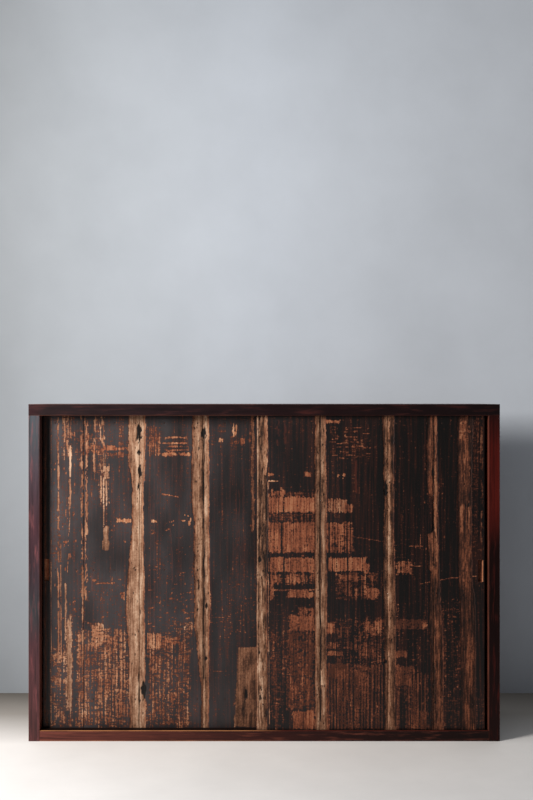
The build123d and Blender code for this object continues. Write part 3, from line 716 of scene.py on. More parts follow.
@dataclass(frozen=True)
class WornLacquer(Finish):
    """Black lacquer rubbed through on cedar boards, brushed on thin and polished by hands.

    To the eye it is a near black film with a soft shine over a coarse upright grain, which goes
    first from the ridges, so bare wood shows in upright lines and rubbed spots.
    """

    name: str = "worn_black_lacquer"
    lacquer: str = "#0e0b0a"
    thin_lacquer: str = "#4a2116"
    thin_share: float = 0.27
    thin_range: Pair = (0.45, 0.66)  # the grain's values at which the film thins and is thinnest
    stain: str = "#4a2619"  # the rim of a worn spot, where the film is thinnest
    # the grey of the painted sheen, a reflection of the light painted on the lacquer
    sheen: str = "#585254"
    sheen_cloud_range: Pair = (0.4, 0.6)  # the shares of the painted sheen that show in thin and thick clouds
    hole_and_shadow_dark: str = "#0e0907"
    fresh: Stops = (
        (0.0, "#1a0d08"), (0.25, "#452417"), (0.5, "#834930"), (0.75, "#a06b4b"), (1.0, "#c39a7a"),
    )
    aged: Stops = (
        (0.0, "#190f0a"), (0.25, "#432a1c"), (0.5, "#75503a"), (0.75, "#9b765d"), (1.0, "#c0a086"),
    )
    # Each pattern's cells, wide and high, and its detail. A fibre is a few hundredths of a
    # millimetre wide, too fine to show, so the fibres are drawn in bundles.
    patterns: tuple[tuple[str, float, float, float], ...] = (
        ("fibre", 3.4, 60.0, 3.0),
        ("grain", 8.0, 260.0, 3.0),
        ("speck", 5.5, 6.0, 3.0),
        ("dash", 22.0, 4.5, 3.0),
        ("cloud", 38.0, 70.0, 4.0),
    )
    cell_y: float = 50.0  # how deep the cells of all of them are
    finer: float = 0.6  # how strong the finer patterns in them are
    breakup: tuple[tuple[str, float], ...] = (
        ("fibre", 0.8), ("grain", 0.85), ("speck", 1.0), ("dash", 0.9),
    )
    bare_breakup: float = 0.35  # the share of the breakup that is left where all is bare
    bare_from: float = 0.6  # the wear from which it falls to that share
    stain_range: Pair = (0.22, 0.48)  # the wear at which the stain begins and is full
    bare_range: Pair = (0.38, 0.74)
    tone_sways: tuple[tuple[str, float], ...] = (
        ("grain", 0.16), ("cloud", 0.17), ("fibre", 0.13), ("speck", 0.1),
    )
    lacquer_roughness: float = 0.42
    wood_roughness: float = 0.8
    gloss: float = 0.24
    relief: float = 0.35
    bare_height: float = -0.6  # where bare wood lies in the fine relief, from the film's top

    def surface(self, tree: Tree, place: Socket) -> Surface:
        """Draws the film, what shows where it is worn, and the dark of the holes.

        The patterns break the wear up, less and less towards bare wood. Two rises of it give the
        stained rim and the bare wood, and the wood's tone sways with the patterns too.

        Args:
            tree: The material's tree.
            place: The object's coordinates in it.

        Returns:
            What the material is built from.
        """
        layers = {
            layer: add_node(tree, "Attribute", {"attribute_name": layer.value}, out="Fac")
            for layer in Layer
        }
        patterns = {
            label: cells(tree, place, (width, self.cell_y, height), detail, self.finer)
            for label, width, height, detail in self.patterns
        }
        level, tone = layers[Layer.WEAR], layers[Layer.TONE]
        fading = {"From Min": self.bare_from, "To Min": 1.0, "To Max": self.bare_breakup}
        uneven = add_node(tree, "MapRange", None, fading, {"Value": level})
        add_up = {"operation": "MULTIPLY_ADD"}
        for label, share in self.breakup:
            centre = {1: share, 2: -0.5 * share}
            centred = add_node(tree, "Math", add_up, centre, {0: patterns[label]})
            level = add_node(tree, "Math", add_up, None, {0: centred, 1: uneven, 2: level})
        stained, bare = (
            add_node(tree, "MapRange", EASED, {"From Min": low, "From Max": high}, {"Value": level})
            for low, high in (self.stain_range, self.bare_range)
        )
        for label, sway in self.tone_sways:
            sways = {**MIDDLE, "To Min": -sway, "To Max": sway}
            shift = add_node(tree, "MapRange", None, sways, {"Value": patterns[label]})
            tone = add_node(tree, "Math", {"operation": "ADD"}, None, {0: tone, 1: shift})
        fresh, aged = (
            add_node(tree, "ValToRGB", {"color_ramp": stops}, None, {"Fac": tone})
            for stops in (self.fresh, self.aged)
        )
        woods = {FACTOR: layers[Layer.RAW], UNDER: fresh, OVER: aged}
        wood = add_node(tree, "Mix", BLEND, None, woods, BLENDED)
        low, high = self.thin_range
        thinning = {"From Min": low, "From Max": high, "To Max": self.thin_share}
        thin = add_node(tree, "MapRange", EASED, thinning, {"Value": patterns["grain"]})
        thinner = {0: thin, 1: layers[Layer.RED]}
        thinned = add_node(tree, "Math", {"operation": "MAXIMUM"}, None, thinner)
        films = {UNDER: linear(self.lacquer), OVER: linear(self.thin_lacquer)}
        film = add_node(tree, "Mix", BLEND, films, {FACTOR: thinned}, BLENDED)
        # Painted sheen: a grey reflection of the light, laid in clouds over the film
        sways = {**MIDDLE, "To Min": self.sheen_cloud_range[0], "To Max": self.sheen_cloud_range[1]}
        cloudy = add_node(tree, "MapRange", None, sways, {"Value": patterns["cloud"]})
        sheen_inputs = {0: layers[Layer.HAZE], 1: cloudy}
        clouded_sheen = add_node(tree, "Math", {"operation": "MULTIPLY"}, None, sheen_inputs)
        # In the order that they cover the film and each other
        coats = (
            (clouded_sheen, self.sheen),
            (stained, self.stain),
            (bare, wood),
            (layers[Layer.VOID], self.hole_and_shadow_dark),
        )
        ends = {"To Min": self.lacquer_roughness, "To Max": self.wood_roughness}
        rough = add_node(tree, "MapRange", None, ends, {"Value": bare})
        raised = {0: bare, 2: patterns["fibre"]}
        height = add_node(tree, "Math", add_up, {1: self.bare_height}, raised)
        gloss = {"Specular IOR Level": self.gloss}
        return Surface(film, coats, height, 0.6, self.relief, gloss, {"Roughness": rough})


class Run(Enum):
    """The way that a piece's grain runs, as the pattern's cell along X, Y and Z in grain widths."""

    ACROSS = (45.0, 1.0, 1.0)
    DEEP = (1.0, 45.0, 1.0)
    UPRIGHT = (1.0, 1.0, 45.0)


@dataclass(frozen=True)
class GrainedWood(Finish):
    """Sawn and planed timber, bare or under a thin coat.

    Long fibres run one way, with slow changes of shade along them. A coat evens them out and
    shines a little, and a bare face is matt and shows each fibre.
    """

    shades: Stops  # colours along the piece, by place in millimetres
    run: Run
    axis: int  # the axis that the shades are spread along
    grain: str  # the colour of the dark grain
    grain_share: float = 0.45
    worn: str = "#7a4a36"  # where the coat is rubbed thin
    worn_share: float = 0.25
    grain_width: float = 4.5  # coarser than real grain, which would be too fine to show
    broad_width: float = 2.4  # the broad grain's width, in widths of the fine one
    broad_length: float = 0.22  # its length, for its width, as a share of the fine one's
    grain_range: Pair = (0.42, 0.72)  # the pattern's values at which the dark begins and is full
    worn_range: Pair = (0.5, 0.75)
    roughness: float = 0.45
    rough_sway: Pair = (-0.08, 0.12)  # how much smoother and rougher the broad grain makes it
    gloss: float = 0.3
    relief: float = 0.25
    edges: tuple[tuple[float, float, float], ...] = ()  # rubbed arrises, as wear and painted highlight: place, force and width
    edge_axis: int = 2  # the axis that the arrises' places are on
    edge_shades: tuple[str, str] = ("#7b4636", "#7b4636")  # their colours at the piece's ends
    edge_turn: Pair = (0.46, 0.54)  # the shares of the way along it between which they change
    painted_shade_behind: float | None = None  # the Y behind which the piece is painted dark as shade
    # the near black of that painted shade
    painted_shade_colour: str = "#140b09"
    board: tuple[int, float, float] | None = None  # boards that differ: axis, first edge, width
    board_share: float = 0.45  # how much of the grain's colour the darkest board takes

    def surface(self, tree: Tree, place: Socket) -> Surface:
        """Draws the shades, the grain, the rubbed places, painted shade behind a depth, and the
        boards.

        The rubbed places follow a broader grain, and the arrises, worn and with painted highlight,
        fade with the distance from them, too.

        Args:
            tree: The material's tree.
            place: The object's coordinates in it.

        Returns:
            What the material is built from.
        """
        parts = add_node(tree, "SeparateXYZ", links={"Vector": place}).node.outputs
        base, share = spread(tree, parts[self.axis], self.shades)
        fine, broad = (
            cells(tree, place, [max(cell * part, 1) * width for cell in self.run.value], 4.0, 0.62)
            for width, part in (
                (self.grain_width, 1.0),
                (self.grain_width * self.broad_width, self.broad_length),
            )
        )
        coats = []
        for pattern, (low, high), most, tint in (
            (fine, self.grain_range, self.grain_share, self.grain),
            (broad, self.worn_range, self.worn_share, self.worn),
        ):
            rise = {"From Min": low, "From Max": high, "To Max": most}
            coats.append((add_node(tree, "MapRange", EASED, rise, {"Value": pattern}), tint))
        for edge, force, width in self.edges:
            stops = tuple(zip(self.edge_turn, self.edge_shades))
            tint = add_node(tree, "ValToRGB", {"color_ramp": stops}, None, {"Fac": share})
            start, spot = {1: edge * METRES}, {0: parts[self.edge_axis]}
            away = add_node(tree, "Math", {"operation": "SUBTRACT"}, start, spot)
            distance = add_node(tree, "Math", {"operation": "ABSOLUTE"}, None, {0: away})
            fall = {"From Max": width * METRES, "To Min": force, "To Max": 0.0}
            near = add_node(tree, "MapRange", EASED, fall, {"Value": distance})
            times = {"operation": "MULTIPLY", "use_clamp": True}
            coats.append((add_node(tree, "Math", times, None, {0: near, 1: broad}), tint))
        # Painted shade: behind the given depth the piece is painted near black, as in shade
        if self.painted_shade_behind is not None:
            start = self.painted_shade_behind * METRES
            rise = {"From Min": start, "From Max": start + METRES}
            painted_shade_share = add_node(tree, "MapRange", EASED, rise, {"Value": parts["Y"]})
            coats.append((painted_shade_share, self.painted_shade_colour))
        if self.board is not None:
            axis, start, width = self.board
            first = {"From Min": start * METRES, "From Max": (start + width) * METRES}
            counted = add_node(tree, "MapRange", {"clamp": False}, first, {"Value": parts[axis]})
            number = add_node(tree, "Math", {"operation": "FLOOR"}, None, {0: counted})
            line = {"noise_dimensions": "1D"}
            drawn = add_node(tree, "TexWhiteNoise", line, None, {"W": number}, "Value")
            most = {"To Max": self.board_share}
            coats.append((add_node(tree, "MapRange", None, most, {"Value": drawn}), self.grain))
        smoother, rougher = (self.roughness + sway for sway in self.rough_sway)
        ends = {"To Min": smoother, "To Max": rougher}
        rough = add_node(tree, "MapRange", None, {**MIDDLE, **ends}, {"Value": broad})
        gloss = {"Specular IOR Level": self.gloss}
        return Surface(base, coats, fine, 0.5, self.relief, gloss, {"Roughness": rough})


@dataclass(frozen=True)
class ForgedIron(Finish):
    """Hand-forged nail iron, blackened and lightly rusted: dark, dull and a little rough."""

    name: str = "forged_iron"
    scale_black: str = "#26211f"
    rust: str = "#5a3324"
    pit_size: float = 1.2
    relief: float = 0.2

    def surface(self, tree: Tree, place: Socket) -> Surface:
        """Draws the pits and the rust in them.

        Args:
            tree: The material's tree.
            place: The object's coordinates in it.

        Returns:
            What the material is built from.
        """
        values = {"Scale": 1 / (self.pit_size * METRES), "Detail": 3.0}
        pits = add_node(tree, "TexNoise", None, values, {"Vector": place}, "Fac")
        stops = ((0.45, self.scale_black), (0.7, self.rust))
        colour = add_node(tree, "ValToRGB", {"color_ramp": stops}, None, {"Fac": pits})
        metal = {"Metallic": 0.6, "Roughness": 0.62}
        return Surface(colour, (), pits, 0.5, self.relief, metal, {})


@dataclass(frozen=True)
class Plaster:
    """Smooth limewashed plaster or concrete: matt, with slow faint changes of shade."""

    name: str
    shades: Stops  # its colours along the axis, by place in millimetres
    axis: int  # 0 to spread the shades along X, and 1 along Y
    one_sided: bool = False  # whether it can't be seen from behind
    clouds_a_metre: float = 2.2
    cloud_shade: Pair = (0.93, 1.03)  # how dark and how light the clouds make it

    def make(self) -> bpy.types.Material:
        """Builds the material.

        Returns:
            The finished material.
        """
        material = bpy.data.materials.new(self.name)
        tree = start_tree(material)
        place = add_node(tree, "TexCoord", out="Object")
        parts = add_node(tree, "SeparateXYZ", links={"Vector": place}).node.outputs
        base = spread(tree, parts[self.axis], self.shades)[0]
        values = {"Scale": self.clouds_a_metre, "Detail": 7.0, "Roughness": 0.6}
        clouds = add_node(tree, "TexNoise", None, values, {"Vector": place}, "Fac")
        darkest, lightest = self.cloud_shade
        ends = {**MIDDLE, "To Min": darkest, "To Max": lightest}
        shade = add_node(tree, "MapRange", None, ends, {"Value": clouds})
        dimmed = {0: base, "Scale": shade}
        colour = add_node(tree, "VectorMath", {"operation": "SCALE"}, None, dimmed)
        shader = add_node(tree, "BsdfDiffuse", links={"Color": colour})
        if self.one_sided:
            behind = add_node(tree, "NewGeometry", out="Backfacing")
            clear = add_node(tree, "BsdfTransparent")
            shader = add_node(tree, "MixShader", links={0: behind, 1: shader, 2: clear})
        add_node(tree, "OutputMaterial", links={"Surface": shader})
        return material


# ---- Meshes ------------------------------------------------------------------------------------
@dataclass(frozen=True)
class WrapMesh:
    """A closed loop of points in plan, carried up through rows of heights and capped."""

    x: Array  # rows by columns, round the loop
    y: Array
    z: Array  # one height for each row
    front: int  # how many of the loop's columns are the front face

    def make(self, name: str) -> bpy.types.Object:
        """Builds the mesh object.

        Args:
            name: The name of the object and its mesh.

        Returns:
            The object, linked to the scene.
        """
        rows, columns = self.x.shape
        points = np.stack([self.x, self.y, np.broadcast_to(self.z[:, None], self.x.shape)], axis=-1)
        index = np.arange(rows * columns).reshape(rows, columns)
        beside = np.roll(index, -1, axis=1)
        quads = np.stack([index[:-1], beside[:-1], beside[1:], index[1:]], axis=-1).reshape(-1, 4)
        loops = np.concatenate([quads.ravel(), index[0, ::-1], index[-1]])
        totals = np.concatenate([np.full(len(quads), 4), [columns, columns]])
        starts = np.concatenate([[0], np.cumsum(totals)[:-1]])
        on_front = np.zeros((rows - 1, columns), bool)
        on_front[:, : self.front - 1] = True
        is_front = np.concatenate([on_front.ravel(), [False, False]])
        mesh = bpy.data.meshes.new(name)
        mesh.vertices.add(rows * columns)
        mesh.vertices.foreach_set("co", (points * METRES).astype(np.float32).ravel())
        mesh.loops.add(len(loops))
        mesh.loops.foreach_set("vertex_index", loops.astype(np.int32))
        mesh.polygons.add(len(totals))
        mesh.polygons.foreach_set("loop_start", starts.astype(np.int32))
        mesh.polygons.foreach_set("loop_total", totals.astype(np.int32))
        mesh.update(calc_edges=True)
        mesh.polygons.foreach_set("use_smooth", is_front)
        mesh.polygons.foreach_set("material_index", np.where(is_front, 0, 1).astype(np.int32))
        return link_object(name, mesh)


# ---- Doors -------------------------------------------------------------------------------------
@dataclass
class Door:
    """A sliding door of lapped boards, with its nails and ledges."""

    name: str
    body: str
    marks: Sequence[Mark]  # in the order that they are painted
    seed: int
    haze: Sequence[Pair]  # place across the door, and painted sheen
    rub: Sequence[Pair]  # height, and wear all over
    pull_at_left: bool = True
    pull_tone: float = 0.5
    slope_highlight: float = 0.12  # how much lighter the pull's sloping side is painted, as painted highlight where the light falls on it
    pull_size: Pair = (18.0, 79.0)
    pull_margin: float = 6.0
    pull_middle: float = 610.0
    pull_depth: float = 8.0
    pull_slope: float = 3.6  # width of its right side, which slopes up to the face
    board_count: int = 4
    thickness: float = 12.0
    lap: float = 8.0
    lap_clearance: float = 0.3
    step_x: float = 1.6
    step_z: float = 3.0
    pair_gap: float = 0.06  # from a pull's edge to the grid's places on its two sides
    nail_space: float = 9.0  # points of the nails' heads that are nearer than this are one head
    nail_slack: float = 0.1  # how far a head's points can lie behind the foremost one
    dimple: float = 0.5  # how far the face is dented round a nail
    dimple_reach: Pair = (4.0, 7.5)  # from a nail's middle to where its dent fades and ends
    rub_sway: float = 0.07  # how much the wear all over changes with the grain
    sheen_sway: float = 0.4  # how much the painted sheen changes
    ripple: float = 0.08  # how far the grain stands out in the face
    ripple_depth: float = 0.06  # how low its middle lies
    lacquer_tone: float = 0.36  # of the wood under sound lacquer
    bare_depth: float = 0.12  # how much lower bare wood lies than the lacquer
    seam_depth: float = 0.7  # how far a board's face falls away at its seams
    seam_reach: float = 0.9

    def __post_init__(self) -> None:
        """Reads the door's edges and its nails from the frame."""
        self.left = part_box(f"{self.name}_board_1")[0].x / METRES
        self.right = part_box(f"{self.name}_board_{self.board_count}")[1].x / METRES
        self.nails = self.nail_heads(f"{self.name}_nails")

    def nail_heads(self, node: str) -> Array:
        """Finds the middle of each nail's head in a node of nails.

        Args:
            node: The node's name.

        Returns:
            One row for each nail, with its X and Z.
        """
        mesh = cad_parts[node].data
        points = np.zeros(len(mesh.vertices) * 3)
        mesh.vertices.foreach_get("co", points)
        points = points.reshape(-1, 3) / METRES
        heads = points[points[:, 1] < points[:, 1].min() + self.nail_slack][:, [0, 2]]
        near = np.hypot(*(heads[:, None] - heads[None]).transpose(2, 0, 1)) < self.nail_space
        groups = np.unique(near.argmax(axis=1), return_inverse=True)[1]
        sizes = np.bincount(groups)
        return np.stack([np.bincount(groups, heads[:, axis]) / sizes for axis in (0, 1)], axis=1)

    def build(self, lacquer: bpy.types.Material, wood: bpy.types.Material) -> None:
        """Makes the boards and dresses them.

        Args:
            lacquer: The material of the boards' fronts.
            wood: The material of their backs and edges.
        """
        for number in range(1, self.board_count + 1):
            piece = self.board(number)
            piece.data.materials.append(lacquer)
            piece.data.materials.append(wood)
            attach(piece, self.body)
            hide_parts(f"{self.name}_board_{number}")
            log.info("%s: %d vertices", piece.name, len(piece.data.vertices))

    def pull_box(self) -> Bounds:
        """Works out where the finger pull is, in door places.

        Returns:
            Its left, right, foot and head.
        """
        width, height = self.pull_size
        door_width = self.right - self.left
        left = self.pull_margin if self.pull_at_left else door_width - self.pull_margin - width
        return left, left + width, self.pull_middle - height / 2, self.pull_middle + height / 2

    def steps(self, low: float, high: float, step: float, edges: Sequence[float]) -> Array:
        """Works out even places, with a close pair of places at each edge among them.

        Args:
            low: The first place.
            high: The last place.
            step: About how far apart they are.
            edges: The edges, of which those from low to high get a pair.

        Returns:
            The places in order.
        """
        even = np.linspace(low, high, max(2, round((high - low) / step)))
        sides = (-self.pair_gap, self.pair_gap)
        pairs = [edge + side for edge in edges if low < edge < high for side in sides]
        return np.unique(np.concatenate([even, pairs]))

    def board(self, number: int) -> bpy.types.Object:
        """Makes one board: its worn front, its lapped sides and its plain back.

        The front's columns run from seam to seam, and the loop goes on round the tongue, the back
        and the rebate. The front lies at the door's face, plus the depth that each point is sunk.

        Args:
            number: The board's number from the left, from 1.

        Returns:
            The board's object.
        """
        low, high = (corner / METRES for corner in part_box(f"{self.name}_board_{number}"))
        is_first, is_last = number == 1, number == self.board_count
        seam_low, seam_high = low.x, high.x - (0.0 if is_last else self.lap)
        core_low = seam_low + (0.0 if is_first else self.lap)
        face, back = low.y, low.y + self.thickness
        middle = (face + back) / 2
        tongue = middle + self.lap_clearance
        sides = [(seam_high, tongue), (high.x, tongue), (high.x, back)]
        if is_last:
            sides = [(seam_high, back)]
        sides.append((core_low, back))
        if not is_first:
            sides += [(core_low, middle), (seam_low, middle)]
        pull = self.pull_box()
        x = self.steps(seam_low - self.left, seam_high - self.left, self.step_x, pull[:2])
        z = self.steps(low.z, high.z, self.step_z, pull[2:])
        skin = self.painted(x, z)
        side_x, side_y = np.array(sides).T
        rows = np.ones((z.size, 1))
        loop_x = np.concatenate([rows * (x + self.left), rows * side_x], axis=1)
        loop_y = np.concatenate([face + skin.sunk, rows * side_y], axis=1)
        piece = WrapMesh(loop_x, loop_y, z, x.size).make(f"{self.name}_front_board_{number}")
        for layer, values in skin.layers.items():
            attribute = piece.data.attributes.new(layer.value, "FLOAT", "POINT")
            padded = np.concatenate([values, np.zeros((z.size, len(sides)))], axis=1)
            attribute.data.foreach_set("value", padded.astype(np.float32).ravel())
        return piece

    def painted(self, x: Array, z: Array) -> Skin:
        """Paints a board's front: general wear, painted sheen, the marks, the nails' dents and the
        pull.

        Args:
            x: The columns, from the door's left edge.
            z: The rows, above the floor.

        Returns:
            The board's skin.
        """
        skin = Skin(x, z, self.seed)
        whole = skin.window(*EVERYWHERE)
        across, up = skin.grid(whole)
        coarse = noise(self.seed + 1, across, up, (55, 110))
        fibre = noise(self.seed + 2, across, up, (3.2, 120))
        rubbed = between(up, self.rub) + self.rub_sway * coarse + self.rub_sway * fibre
        skin.raise_to(whole, Layer.WEAR, np.clip(rubbed, 0.0, 1.0))
        skin.lay(whole, Layer.TONE, self.lacquer_tone, 1.0)
        # Painted sheen: the light's reflection, painted strongest by the left door's left edge
        sheen = between(across, self.haze) * (0.8 + self.sheen_sway * coarse)
        skin.raise_to(whole, Layer.HAZE, np.clip(sheen, 0.0, 1.0))
        skin.sink(whole, np.clip(self.ripple_depth + self.ripple * fibre, 0.0, 1.0))
        for mark in self.marks:
            part = skin.window(*mark.bounds())
            if skin.sunk[part].size:
                mark.paint(skin, part)
        skin.sunk += self.bare_depth * smooth(0.3, 0.7, skin.layers[Layer.WEAR])
        for nail_x, nail_z in self.nails:
            away = np.hypot(across + self.left - nail_x, up - nail_z)
            skin.sink(whole, self.dimple * (1 - smooth(*self.dimple_reach, away)))
        edge = np.minimum(across - x[0], x[-1] - across)
        skin.sunk += self.seam_depth * np.exp(-edge / self.seam_reach)
        self.cut_pull(skin)
        return skin

    def cut_pull(self, skin: Skin) -> None:
        """Sinks the finger pull, bare and brown inside, with painted highlight on its sloping side.

        Args:
            skin: The board's skin.
        """
        box = self.pull_box()
        part = skin.window(*box)
        x, z = skin.grid(part)
        slope = np.clip((box[1] - x) / self.pull_slope, 0.0, 1.0) + 0 * z
        skin.sunk[part] = self.pull_depth * slope
        skin.layers[Layer.WEAR][part] = 1.0
        # painted highlight on the pull's lit slope
        skin.layers[Layer.TONE][part] = self.pull_tone + self.slope_highlight * (slope < 1.0)
        skin.layers[Layer.RAW][part] = 0.0
        skin.layers[Layer.VOID][part] = 0.0


# ---- The marks on the doors --------------------------------------------------------------------
# A Patch, Cavity or group of Specks starts with its sides and with its foot and head, a Streak
# with its foot and its head, a Scratch with its ends and a Strip with its middle and its width.

